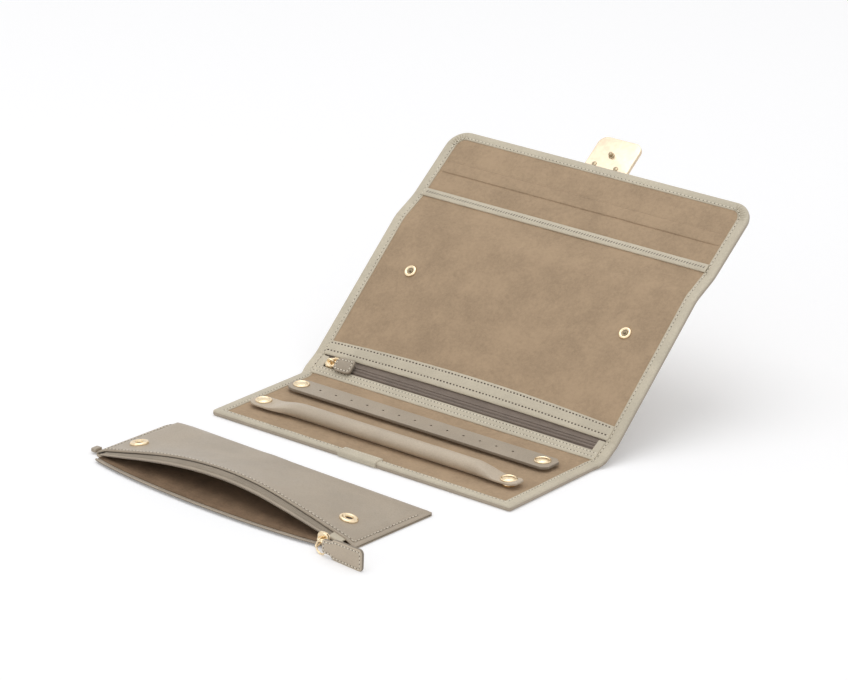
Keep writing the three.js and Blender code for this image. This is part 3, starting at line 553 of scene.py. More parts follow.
def length_property(name, description, default, low, high):
    """A property that holds a length, given in millimetres."""
    return FloatProperty(name=name, description=description, default=default * MM,
                         min=low * MM, max=high * MM, unit="LENGTH")


def colour_property(name, description, *levels):
    """A property that holds a colour, given as it looks on a screen."""
    return FloatVectorProperty(name=name, description=description, default=srgb(*levels),
                               size=3, subtype="COLOR", min=0, max=1)


class RollSizes(bpy.types.PropertyGroup):
    stitch_pitch: length_property("Stitch pitch", "Distance from one stitch to the next", 2.9, 1, 8)
    stitch_length: length_property(
        "Stitch length", "Length of thread that shows at a stitch", 2.3, 0.5, 6)
    thread: length_property("Thread", "Thickness of the sewing thread", 0.62, 0.1, 2)
    pleat: length_property("Pleat height", "Height of the pleats at the flap's corners", 0.8, 0, 2)
    perforation_pitch: length_property(
        "Perforation pitch", "Distance between the holes in the facings", 2.6, 0.8, 5)
    tooth_pitch: length_property("Tooth pitch", "Distance between a zip coil's turns", 1.25, 0.6, 4)
    leather_grain: length_property("Leather grain", "Size of the leather's pebbles", 0.62, 0.2, 4)


class RollColours(bpy.types.PropertyGroup):
    cover: colour_property("Cover leather", "Satin leather outside", 176, 162, 143)
    facing: colour_property(
        "Facing leather", "Pale leather beside the zip and on borders", 201, 191, 170)
    suede: colour_property("Suede", "Suede of the linings", 170, 147, 121)
    pouch_suede: colour_property("Pouch suede", "Darker suede inside the pouch", 126, 104, 83)
    zip_cloth: colour_property("Zip cloth", "Woven tape and coil of the main zip", 134, 119, 107)
    thread: colour_property("Thread", "Pale sewing thread", 238, 230, 212)
    gold: colour_property("Gold", "Plating of snaps, sliders and rings", 238, 217, 182)
    clasp: colour_property("Clasp", "Pale metal of the clasp", 226, 209, 184)


def size_of(name):
    """One of the user's sizes, in millimetres."""
    return getattr(bpy.context.scene.roll_sizes, name) / MM


# Shared effects

@shared
def leather_grain(name):
    """Fine pebbled leather: a height, a mask of its furrows and slow clouds of tone."""
    n, given, result = new_group(
        name, [("Vector", "Vector"), ("Pebble", "Float", 0.00075), ("Wrinkle", "Float", 0.3)],
        [("Height", "Float"), ("Furrow", "Float"), ("Cloud", "Float")])
    vector = given["Vector"]
    per_metre = n.math("DIVIDE", 1.0, given["Pebble"])
    cells = n.add("ShaderNodeTexVoronoi",
                  {"Vector": vector, "Scale": per_metre, "Randomness": 0.9}, "Distance")
    edge = n.math("SUBTRACT", 1.0, n.ramp(cells, 0.15, 0.8))
    fine = n.noise(vector, n.times(per_metre, 0.6), detail=5.0)
    folds = n.noise(n.stretched(vector, 1.0, 1.7, 1.7), 95.0, 5.0, 0.6, 0.7)
    pebbles = n.plus(n.times(edge, 0.4), n.times(fine, 0.6))
    n.feed(result["Height"], n.plus(pebbles, n.times(folds, given["Wrinkle"])))
    hollow = n.math("SUBTRACT", 1.0, edge, clamp=True)
    n.feed(result["Furrow"], n.times(hollow, n.ramp(fine, 0.35, 0.65)))
    n.feed(result["Cloud"], n.noise(vector, 26.0, detail=4.0, distortion=0.5))


@shared
def suede_nap(name):
    """Suede: a short fibre height and brushed patches where the nap lies the other way."""
    n, given, result = new_group(
        name, [("Vector", "Vector"), ("Patch size", "Float", 0.03)],
        [("Height", "Float"), ("Fibre", "Float"), ("Brushed", "Float")])
    vector = given["Vector"]
    per_metre = n.math("DIVIDE", 1.0, given["Patch size"])
    fibre = n.noise(vector, 2600.0, 3.0, 0.7)
    clump = n.noise(vector, 700.0, 4.0, 0.65)
    patch = n.noise(vector, per_metre, 5.0, 0.6, 0.25)
    fleck = n.noise(vector, n.times(per_metre, 9.0), 3.0, 0.7)
    brushed = n.plus(n.times(patch, 0.62), n.times(fleck, 0.38))
    n.feed(result["Height"], n.plus(n.times(fibre, 0.6), n.times(clump, 0.4)))
    n.feed(result["Fibre"], n.plus(n.times(fibre, 0.5), n.times(clump, 0.5)))
    n.feed(result["Brushed"], n.ramp(brushed, 0.32, 0.68))


@shared
def tape_weave(name):
    """Close plain weave: a height from two crossed threads, and a mask of the gaps."""
    n, given, result = new_group(
        name, [("Vector", "Vector"), ("Thread pitch", "Float", 0.0005)],
        [("Height", "Float"), ("Gap", "Float")])
    across = n.add("ShaderNodeSeparateXYZ", {"Vector": given["Vector"]}).node.outputs
    turn = n.math("DIVIDE", 2 * math.pi, given["Thread pitch"])
    warp, weft = (
        n.math("ABSOLUTE", n.math("SINE", n.times(source, turn)))
        for source in (across["X"], n.plus(across["Y"], across["Z"])))
    height = n.math("MAXIMUM", warp, n.times(weft, 0.9))
    n.feed(result["Height"], height)
    n.feed(result["Gap"], n.math("SUBTRACT", 1.0, height, clamp=True))


@shared
def edge_wear(name):
    """Edges where a finish is rubbed: a mask from the shape's own corners."""
    n, given, result = new_group(
        name, [("Vector", "Vector"), ("Amount", "Float", 0.5)], [("Wear", "Float")])
    corner = n.ramp(n.add("ShaderNodeNewGeometry", output="Pointiness"), 0.52, 0.6)
    speckle = n.ramp(n.noise(given["Vector"], 900.0), 0.35, 0.7)
    mask = n.times(corner, n.plus(speckle, 0.35, clamp=True))
    n.feed(result["Wear"], n.times(mask, given["Amount"]))


# Materials

def shade(colour, factor):
    return tuple(min(level * factor, 1.0) for level in colour)


class Finish(Nodes):
    """A new material with a Principled shader and its Object coordinates."""

    def __init__(self, name):
        self.material = bpy.data.materials.new(name)
        self.material.use_nodes = True
        super().__init__(self.material.node_tree)
        self.shader = self.find("BSDF_PRINCIPLED")
        self.place = self.add("ShaderNodeTexCoord", output="Object")

    def effect(self, group, **values):
        """The outputs of a shared effect, with its values."""
        inputs = {label.replace("_", " "): value for label, value in values.items()}
        return self.add("ShaderNodeGroup", {"Vector": self.place, **inputs},
                        node_tree=group).node.outputs

    def tones(self, mask, colour, low, high):
        """A darker and a lighter shade of a colour, mixed by a mask."""
        return self.mix(mask, shade(colour, low), shade(colour, high))

    def done(self, tone, roughness, height=None, depth=0.0, **values):
        """Joins what was made to the shader and gives the material."""
        values.update(Base_Color=tone, Roughness=roughness)
        if height is not None:
            values["Normal"] = self.add("ShaderNodeBump", {
                "Height": height, "Strength": 1.0, "Distance": depth}, "Normal")
        for label, value in values.items():
            self.feed(self.shader.inputs[label.replace("_", " ")], value)
        return self.material


def leather(name, colour, pebble=1.0, roughness=0.46, wrinkle=0.3, depth=0.00012):
    n = Finish(name)
    grain = n.effect(leather_grain(), Pebble=size_of("leather_grain") * MM * pebble,
                     Wrinkle=wrinkle)
    furrow, cloud = grain["Furrow"], grain["Cloud"]
    tone = n.tones(n.ramp(cloud, 0.3, 0.7), colour, 0.93, 1.07)
    tone = n.mix(n.times(furrow, 0.28), tone, shade(colour, 0.62))
    tone = n.mix(n.effect(edge_wear(), Amount=0.35)["Wear"], tone, shade(colour, 1.18))
    rough = n.plus(n.times(furrow, 0.2), n.plus(roughness - 0.06, n.times(cloud, 0.12)))
    return n.done(tone, rough, grain["Height"], depth, Specular_IOR_Level=0.5,
                  Sheen_Weight=0.12, Sheen_Roughness=0.45)


def suede(name, colour, patch, contrast):
    n = Finish(name)
    nap = n.effect(suede_nap(), Patch_size=patch)
    tone = n.tones(nap["Brushed"], colour, 1 - contrast, 1 + contrast * 0.8)
    speck = n.times(n.ramp(nap["Fibre"], 0.38, 0.62), 0.42)
    tone = n.mix(speck, tone, shade(colour, 1.22))
    rough = n.plus(0.86, n.times(nap["Fibre"], 0.12))
    return n.done(tone, rough, nap["Height"], 0.00018, Specular_IOR_Level=0.2, Sheen_Weight=0.35,
                  Sheen_Roughness=0.5, Sheen_Tint=(*shade(colour, 1.5), 1.0))


def cloth(name, colour, pitch):
    n = Finish(name)
    weave = n.effect(tape_weave(), Thread_pitch=pitch)
    tone = n.tones(n.ramp(n.noise(n.place, 60.0), 0.3, 0.7), colour, 0.9, 1.08)
    tone = n.mix(n.times(weave["Gap"], 0.6), tone, shade(colour, 0.45))
    rough = n.plus(0.62, n.times(weave["Gap"], 0.3))
    return n.done(tone, rough, weave["Height"], 0.00012, Sheen_Weight=0.15)


def thread(name, colour, roughness=0.55):
    n = Finish(name)
    split = n.add("ShaderNodeSeparateXYZ", {"Vector": n.place}).node.outputs
    diagonal = n.plus(split["X"], n.plus(split["Y"], split["Z"]))
    mask = n.ramp(n.math("SINE", n.times(diagonal, 2 * math.pi / 0.0005)), -0.6, 0.8)
    rough = n.plus(roughness, n.times(mask, -0.12))
    return n.done(n.tones(mask, colour, 0.82, 1.05), rough, mask, 0.00005)


def metal(name, colour, roughness=0.22):
    n = Finish(name)
    brushed = n.noise(n.stretched(n.place, 1.0, 9.0, 9.0), 700.0)
    cloud = n.ramp(n.noise(n.place, 320.0, detail=4.0), 0.3, 0.7)
    tone = n.tones(cloud, colour, 0.92, 1.04)
    tone = n.mix(n.effect(edge_wear(), Amount=0.5)["Wear"], tone, shade(colour, 1.15))
    rough = n.plus(roughness - 0.05, n.times(brushed, 0.14))
    return n.done(tone, rough, brushed, 0.00002, Metallic=1.0)


# Painted shade: a dark finish for the marks that stand in for the shade inside needle holes,
# perforations and the pouch sockets' wells.
def dark_hole(name, colour):
    n = Finish(name)
    return n.done(n.tones(n.ramp(n.noise(n.place, 900.0), 0.3, 0.7), colour, 0.7, 1.2), 0.8)


# The dark colour painted as the shade inside holes.
HOLE_SHADE_COLOUR = srgb(76, 62, 52)
STRAP_SURFACE = {"roughness": 0.42, "wrinkle": 0.2}
FINISHES = {
    "satin_leather": (leather, "cover", 1.0, {}),
    "strap_leather": (leather, "cover", 0.93, STRAP_SURFACE),
    # The pouch tab's leather: the cover colour painted lighter, as light on its upright face.
    "tab_leather": (leather, "cover", 1.3, STRAP_SURFACE),
    # The ring roll's leather: the cover colour painted lighter, as the highlight along its round top.
    "roll_leather": (leather, "cover", 1.22, STRAP_SURFACE),
    "pouch_leather": (leather, "cover", 0.94,
                      {"pebble": 0.9, "roughness": 0.4, "wrinkle": 0.2, "depth": 0.0001}),
    "border_leather": (leather, "facing", 1.0,
                       {"pebble": 1.15, "roughness": 0.5, "wrinkle": 0.4, "depth": 0.00014}),
    "facing_leather": (leather, "facing", 1.0, {"roughness": 0.48, "wrinkle": 0.25}),
    "edge_paint": (leather, "cover", 0.62, {"pebble": 0.6, "roughness": 0.5, "depth": 0.00006}),
    "suede_lining": (suede, "suede", 1.0, {"patch": 0.022, "contrast": 0.18}),
    "pouch_suede": (suede, "pouch_suede", 1.0, {"patch": 0.014, "contrast": 0.3}),
    "zip_cloth": (cloth, "zip_cloth", 1.0, {"pitch": 0.0006}),
    "zip_teeth": (thread, "zip_cloth", 0.8, {"roughness": 0.4}),
    "pouch_tape": (cloth, "cover", 0.85, {"pitch": 0.0006}),
    "pouch_coil": (cloth, "cover", 1.05, {"pitch": 0.0008}),
    "pale_thread": (thread, "thread", 1.0, {}),
    "dark_thread": (thread, "zip_cloth", 0.6, {}),
    "hem_thread": (thread, "suede", 1.12, {}),
    "pale_gold": (metal, "gold", 1.0, {}),
    # Gold darkened as painted shade for the recessed core of the panel studs.
    "aged_gold": (metal, "gold", 0.3, {"roughness": 0.4}),
    "clasp_metal": (metal, "clasp", 1.0, {"roughness": 0.34}),
    "clasp_fittings": (metal, "gold", 0.48, {"roughness": 0.25}),
    "needle_hole": (dark_hole, None, 1.0, {}),
}


def finish(kind):
    """The named finish, made once."""
    name = kind + "_finish"
    if name in bpy.data.materials:
        return bpy.data.materials[name]
    maker, base, factor, values = FINISHES[kind]
    colour = getattr(bpy.context.scene.roll_colours, base) if base else HOLE_SHADE_COLOUR
    return maker(name, shade(colour, factor), **values)


# Where pieces belong

def settle(piece, body, slot, *nodes):
    """Puts a piece on its body, or bakes its transform where it lies over a crease, and hides its CAD
    nodes; the slot is not used.
    """
    if isinstance(body, int):
        ride_crease(piece, body)
    else:
        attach(piece, body)
    if nodes:
        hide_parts(*nodes)


def ride_crease(piece, index):
    """Bakes the transform of a piece that lies over the crease between two of the roll's panels."""
    start, end = (FOLD.place(0, CREASE[index] + side * BLEND_REACH) * MM for side in (-1, 1))
    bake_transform(piece)
    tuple(start)
    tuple(end)


def seat_at(foot, along=Vector((1, 0, 0)), across=Vector((0, 1, 0)), up=UP):
    """Turns a fitting's own places into places about its foot."""
    return lambda a, b, c: foot + along * a + across * b + up * c


# Covers with their turned-over borders

EDGE_ROUND = 1.5
EDGE_TOP = 0.3
EDGE_SQUARE = 0.8
STITCH_LINE = 6.3
RECESS_FLOOR = -1.4
BORDER_PROFILE = (
    (2.6, 0.42), (3.9, 0.46), (5.0, 0.42), (5.7, 0.3), (STITCH_LINE, 0.16), (6.9, 0.24),
    (7.4, 0.27), (7.75, 0.18), (7.95, -0.05), (SIDE_BORDER, -0.5), (SIDE_BORDER, RECESS_FLOOR),
)
# Faces below this level take the darker cover leather: the outer face, which is cover leather, and
# the lower part of the rounded edge, where the darker colour is painted shade on the side.
OUTSIDE_AND_SHADED_EDGE_LEVEL = -0.9
PINCH = 0.5
PINCH_REACH = 0.9
BORDER_WAVE = 0.16
PLEATS_PER_TURN = 36
PLEAT_SHARE_UP = 0.65
PLEAT_START = 1.0
NEEDLE_HOLE = (0.55, 0.55, 0.3)


def cover_section(reach):
    """Depths from the edge and levels of a cover, from under the panel round to its recess."""
    wide = reach > SIDE_BORDER
    section = [(reach, -THICKNESS)] + [(SIDE_BORDER, -THICKNESS)] * wide
    section += [(5.0, -THICKNESS), (2.6, -THICKNESS)]
    middle, half = (EDGE_TOP - THICKNESS) / 2, (EDGE_TOP + THICKNESS) / 2
    for i in range(11):
        angle = math.radians(-90 + 18 * i)
        out = abs(math.cos(angle)) ** EDGE_SQUARE
        rise = signed_power(math.sin(angle), EDGE_SQUARE)
        section.append((EDGE_ROUND * (1 - out), middle + half * rise))
    return section + list(BORDER_PROFILE) + [(reach, RECESS_FLOOR)] * wide


def crease_groove(s):
    """How far a border is pinched in at the folds."""
    return -sum(PINCH * math.exp(-((s - crease) / PINCH_REACH) ** 2) for crease in CREASE)


def border_level(depth, level, x, s):
    """Slow unevenness of a border's upper face, none at its lower face."""
    if level < 0 or depth >= SIDE_BORDER:
        return level
    share = smoothstep(depth / 2.0)
    return level + share * (wander(x, s, 1.7, 13.0, BORDER_WAVE) + crease_groove(s))


def near_depth(depth, near, radius):
    """How far in from the short border a line lies that is depth in from the side border."""
    if depth <= SIDE_BORDER:
        return depth * near / SIDE_BORDER
    reach = max(radius, SIDE_BORDER)
    return lerp(near, reach, (depth - SIDE_BORDER) / max(reach - SIDE_BORDER, 1e-6))


def edge_line(depth, near, half, radius, reach, near_reach, sides, crossing, turns):
    """Places round three sides at one depth from the edge: each has x, s and its turn."""
    edge = half - depth
    rx, rs = max(radius - depth, 0.0), max(radius - near, 0.0)
    line = [(-edge, s, None) for s in sides]
    line += [(-edge, lerp(near_reach, near + rs, i / 3), None) for i in range(3)]
    for i in range(turns + 1):
        angle = math.pi / 2 * i / turns
        line.append((
            -edge + rx * (1 - math.cos(angle)), near + rs * (1 - math.sin(angle)), angle))
    line += [(lerp(-edge + rx, -half + reach, i / 3), near, None) for i in (1, 2)]
    mirrored = [(-x, s, angle) for x, s, angle in reversed(line)]
    return line + [(x, near, None) for x in crossing] + mirrored


def pleat_rise(angle, depth):
    """Gathered pleats round a corner, flat at the very edge."""
    if angle is None:
        return 0.0
    fan = math.sin(2 * angle) ** 0.35 if 0 < angle < math.pi / 2 else 0.0
    reach = smoothstep((depth - PLEAT_START) / 2.2)
    wave = abs(math.sin(PLEATS_PER_TURN / 2 * angle)) - PLEAT_SHARE_UP
    return size_of("pleat") * fan * reach * wave


def end_cover(name, half, radius, near, cut, length_at, turns, pleated):
    """A cover piece with borders on three sides; length_at turns depth from its edge into s."""
    reach = max(SIDE_BORDER, radius)
    near_reach = near_depth(reach, near, radius)
    last = length_at(near_reach)
    sides = [abs(s - length_at(0)) for s in fold_stations(min(cut, last), max(cut, last))]
    sides = sorted((s for s in sides if s > near_reach + 1e-6), reverse=True)
    crossing = steps(-half + reach, half - reach, 3.0)
    bm = bmesh.new()
    rows = []
    for depth, level in cover_section(reach):
        line = edge_line(depth, near_depth(depth, near, radius), half, radius, reach, near_reach,
                         sides, crossing[1:-1], turns)
        row = []
        for x, t, angle in line:
            s = length_at(t)
            lift = pleat_rise(angle, depth) if pleated and level > 0 else 0.0
            row.append(FOLD.place(x, s, border_level(depth, level, x, s) + lift))
        rows.append(row)
    add_grid(bm, rows)
    for level in (-THICKNESS, RECESS_FLOOR):
        add_grid(bm, [[FOLD.place(x, length_at(t), level) for x in crossing]
                      for t in sides + [near_reach]])
    close_holes(bm)
    return finish_mesh(name, bm, "border_leather", "satin_leather", sharp=50)


def middle_cover(name, start, end):
    """A cover piece with borders at its two sides."""
    section = cover_section(SIDE_BORDER)
    bm = bmesh.new()
    rows = []
    for s in fold_stations(start, end):
        half = panel_half(s)
        ring = [(depth - half, s, border_level(depth, level, depth - half, s))
                for depth, level in section]
        ring += [(half - depth, s, border_level(depth, level, half - depth, s))
                 for depth, level in reversed(section)]
        inner = steps(half - SIDE_BORDER, -half + SIDE_BORDER, 12.0)[1:-1]
        ring += [(x, s, -THICKNESS) for x in inner]
        rows.append([FOLD.place(*point) for point in ring])
    add_rings(bm, rows)
    cut_wide_faces(bm)
    return finish_mesh(name, bm, "border_leather", "satin_leather", sharp=50)


def fold_level(point):
    """The nearest length along the fold to a point, and the point's level there."""
    found = []
    for a, b, start in zip(FOLD.corners, FOLD.corners[1:], FOLD.starts):
        direction = (b - a).normalized()
        offset = point - a
        along = min(max(offset.y * direction.y + offset.z * direction.z, 0), (b - a).length)
        foot = a + direction * along
        gap = Vector((0, point.y - foot.y, point.z - foot.z))
        found.append((gap.length, start + along, gap.dot(upright(direction))))
    return min(found, key=lambda place: place[0])[1:]


def panel_half(s):
    """Half the width of the roll: the front panel is a little narrower."""
    return lerp(FRONT_HALF, BACK_HALF, smoothstep((s - CREASE[0]) / 10.0 + 0.5))


def stitch_row(name, lines, kind="pale_thread", pitch=None, start=0.5, size=None, upward=True,
               slant=0.0, uneven=0.08):
    """Stitches along lines of (x, s, level) places on the fold; size is length, width, height."""
    marks = []
    for line in lines:
        ups = [FOLD.up(s) * (1 if upward else -1) for _, s, _ in line]
        marks += spaced([FOLD.place(*place) for place in line], ups,
                        pitch or size_of("stitch_pitch"), start)
    thickness = size_of("thread")
    size = size or (size_of("stitch_length"), thickness, thickness * 0.8)
    return row_object(name, marks, *size, kind, slant, uneven)


def border_stitch_lines(start, end, level):
    """Side stitch lines on both borders between two lengths."""
    return [[
        (side * (panel_half(s) - STITCH_LINE), s, level + (crease_groove(s) if level > 0 else 0))
        for s in fold_stations(start, end)] for side in (-1, 1)]


class ROLL_OT_covers(bpy.types.Operator):
    """Cover leather in four lengths that bend at the folds, with borders, pleats and stitches"""
    bl_idname = "roll.covers"
    bl_label = "Covers"

    def execute(self, context):
        front = end_cover("cover_front", FRONT_HALF, FRONT_CORNER, FRONT_BORDER, SPINE_CUT,
                          lambda t: t, 5, False)
        for vert in front.data.vertices:
            vert.co.x *= panel_half(fold_level(vert.co / MM)[0]) / FRONT_HALF
        spine = middle_cover("cover_bottom_spine", SPINE_CUT, BACK_CUT)
        back = middle_cover("cover_back", BACK_CUT, TOP_CUT)
        flap = end_cover("cover_flap", BACK_HALF, FLAP_CORNER, FLAP_BORDER, TOP_CUT,
                         lambda t: FOLD.end - t, 54, True)
        hidden = (
            ("front_cover", "front_board"),
            ("bottom_spine_cover", "bottom_spine_lining"),
            ("back_cover", "back_board", "zip_pocket_lining"),
            ("top_spine_cover", "flap_cover", "flap_board", "flap_lining"),
        )
        for index, piece in enumerate((front, spine, back, flap)):
            for face in piece.data.polygons:
                # The outer face and the lower part of the edge take the darker cover leather; on the
                # edge it is painted shade.
                outside = fold_level(face.center / MM)[1] < OUTSIDE_AND_SHADED_EDGE_LEVEL
                face.material_index = 1 if outside else 0
            settle(piece, index, "cover_leather", *hidden[index])
        self.stitches()
        return {"FINISHED"}

    def stitches(self):
        top = EDGE_TOP - 0.02
        low = -THICKNESS - 0.05
        near, far = (border * STITCH_LINE / SIDE_BORDER for border in (FRONT_BORDER, FLAP_BORDER))
        bounds = (near, *CUTS, FOLD.end - far)
        for index, body in enumerate(RAISED_BODIES[:4]):
            start, end = bounds[index], bounds[index + 1]
            lines, under = (border_stitch_lines(start, end, level) for level in (top, low))
            if index == 0:
                reach = FRONT_HALF - STITCH_LINE
                lines.append([(x, start, top) for x in steps(-reach, reach, 4.0)])
            if index == 3:
                lines, under = ([self.flap_line(level, far)] for level in (top, low))
            rows = [stitch_row("border_stitches_" + body, lines)]
            if index:
                rows.append(stitch_row("outer_stitches_" + body, under, upward=False))
            # Dark marks painted as the shade in the needle holes between the stitches.
            rows.append(stitch_row("border_holes_" + body, lines, "needle_hole", start=0,
                                   size=NEEDLE_HOLE))
            for row in rows:
                settle(row, index, "cover_leather")

    def flap_line(self, level, near):
        sides = sorted(
            (FOLD.end - s for s in fold_stations(TOP_CUT, FOLD.end - FLAP_CORNER)), reverse=True)
        line = edge_line(
            STITCH_LINE, near, BACK_HALF, FLAP_CORNER, FLAP_CORNER, FLAP_CORNER, sides,
            steps(-BACK_HALF + FLAP_CORNER, BACK_HALF - FLAP_CORNER, 4.0)[1:-1], 10)
        return [(x, FOLD.end - t, level) for x, t, _ in line]


# Linings

SUEDE_THICKNESS = 0.6
SUEDE_SUNK = 0.12
SUEDE_PUFF = 0.16
SUEDE_WAVE = 0.22
SEAM_REACH = 6.0
TUCKED_UNDER = 1.2


def held(x, s):
    """0 along the borders, where the suede is sewn down, and 1 in the open."""
    gap = min(panel_half(s) - SIDE_BORDER - abs(x), s - FRONT_BORDER, FOLD.end - FLAP_BORDER - s)
    return smoothstep(gap / SEAM_REACH)


def lining_top(x, s):
    """Level of the suede: a slow puff that is held down along the borders."""
    puff = SUEDE_PUFF + wander(x, s, 5.3, 24.0, SUEDE_WAVE)
    return LINING_TOP - SUEDE_SUNK + held(x, s) * puff


def lining_columns(half):
    """Places across a lining, whose sides are tucked under the borders."""
    reach = half - SIDE_BORDER + TUCKED_UNDER
    return steps(-reach, reach, 3.0)


class ROLL_OT_linings(bpy.types.Operator):
    """Suede linings of the front panel, the back panel and the top spine"""
    bl_idname = "roll.linings"
    bl_label = "Suede linings"

    def execute(self, context):
        for name, half, stations, body in (
            ("front", FRONT_HALF, steps(FRONT_BORDER - 1.0, CREASE[0] + 0.9, 2.5), "front_panel"),
            ("back", BACK_HALF, fold_stations(CREASE[1] + 3.0, TOP_CUT, 2.5, 1.2), 2),
            ("top_spine", BACK_HALF, fold_stations(TOP_CUT, CREASE[3] + 2.0, 2.5, 1.2), 3),
        ):
            lining = sheet_piece("lining_" + name, lining_columns(half), stations, lining_top,
                                 SUEDE_THICKNESS, "suede_lining")
            settle(lining, body, "suede", name + "_lining")
        return {"FINISHED"}


# Flap pockets

SLIT = 22.8
TRIM_START = 1.2
TRIM_WIDTH = 6.0
TRIM_RISE = 0.55
TRIM_THICKNESS = 0.8
HEM = 9.0


class ROLL_OT_flap_pockets(bpy.types.Operator):
    """Two flat slip pockets in the flap, and the stitched trim on the lower one's mouth"""
    bl_idname = "roll.flap_pockets"
    bl_label = "Flap pockets"

    def execute(self, context):
        base = CREASE[3]
        mouth = base + SLIT
        hem_at = mouth + HEM

        def lower_level(x, s):
            return lining_top(x, s) - 0.25 * smoothstep((s - mouth + 3.0) / 3.0)

        def hem_level(x, s):
            lip = 1 - smoothstep((s - mouth) / HEM)
            ridge = math.exp(-((s - hem_at) / 0.8) ** 2)
            return lining_top(x, s) + held(x, s) * (0.3 * lip + 0.25 - 0.3 * ridge)

        def upper_level(x, s):
            return hem_level(x, s) - 0.3 * (1 - smoothstep((s - mouth) / 0.5))

        xs = lining_columns(BACK_HALF)
        lower = steps(base + TRIM_START + 2.0, mouth + 1.2, 2.2)
        upper = [mouth + d for d in (0, 0.15, 0.5, 1.0)]
        upper += steps(mouth + 2.0, FOLD.end - FLAP_BORDER + 1.0, 0.9)
        for label, stations, level, thickness in (
                ("lower", lower, lower_level, 0.5), ("upper", upper, upper_level, 0.55)):
            pocket = sheet_piece("pocket_" + label, xs, stations, level, thickness, "suede_lining")
            settle(pocket, "flap", "suede", "flap_pocket_" + label)
        reach = BACK_HALF - SIDE_BORDER - 1.0
        hem = stitch_row(
            "pocket_hem_stitches",
            [[(x, hem_at, hem_level(x, hem_at) + 0.06) for x in steps(-reach, reach, 4.0)]],
            "hem_thread", 2.6, size=(1.9, 0.45, 0.4))
        settle(hem, "flap", "suede")
        self.trim(base + TRIM_START, reach)
        return {"FINISHED"}

    def trim(self, start, reach):
        end = start + TRIM_WIDTH
        middle = (start + end) / 2

        def level(x, s):
            across = abs(s - middle) / (TRIM_WIDTH / 2)
            return FACING_TOP + TRIM_RISE * (1 - across ** 4) + wander(x, s, 8.1, 9.0, 0.1)

        trim = sheet_piece(
            "trim_strip", steps(-reach - 1.9, reach + 1.9, 3.0),
            edged(start, end, (0.2, 0.6, 1.2), 0.9), level, TRIM_THICKNESS, "facing_leather")
        settle(trim, "flap", "facing_leather", "pocket_trim")
        row = stitch_row(
            "trim_stitches",
            [[(x, middle, level(x, middle) + 0.03) for x in steps(-reach, reach, 3.0)]],
            "dark_thread", 2.1, size=(2.1, 0.62, 0.3), slant=1.05)
        settle(row, "flap", "facing_leather")


# Main zip

ZIP_LINE = 12.0
LOWER_FACING = (0.8, 8.0)
UPPER_FACING = (0.8, 11.3)
LOWER_BOW = (0.0, 0.8)
UPPER_BOW = (1.5, 4.0)
ZIP_END = 5.0
ZIP_REACH = BACK_HALF - SIDE_BORDER
ZIP_GAP = 0.25
ZIP_FLAT = -0.78
ZIP_CLOTH = 0.45
TOOTH = (1.5, 0.85, 0.85)
TOOTH_LEAN = 0.28
FACING_THICKNESS = 0.75


def tape_rise(away):
    """A zip tape's height off its flat: the fold over the coil, then a woven ridge."""
    fold = 0.95 * math.sqrt(max(1 - ((away - 0.9) / 0.95) ** 2, 0))
    ridge = 0.4 * math.exp(-((away - 2.85) / 0.35) ** 2)
    groove = 0.25 * math.exp(-((away - 2.15) / 0.18) ** 2)
    return max(fold, ridge) - groove


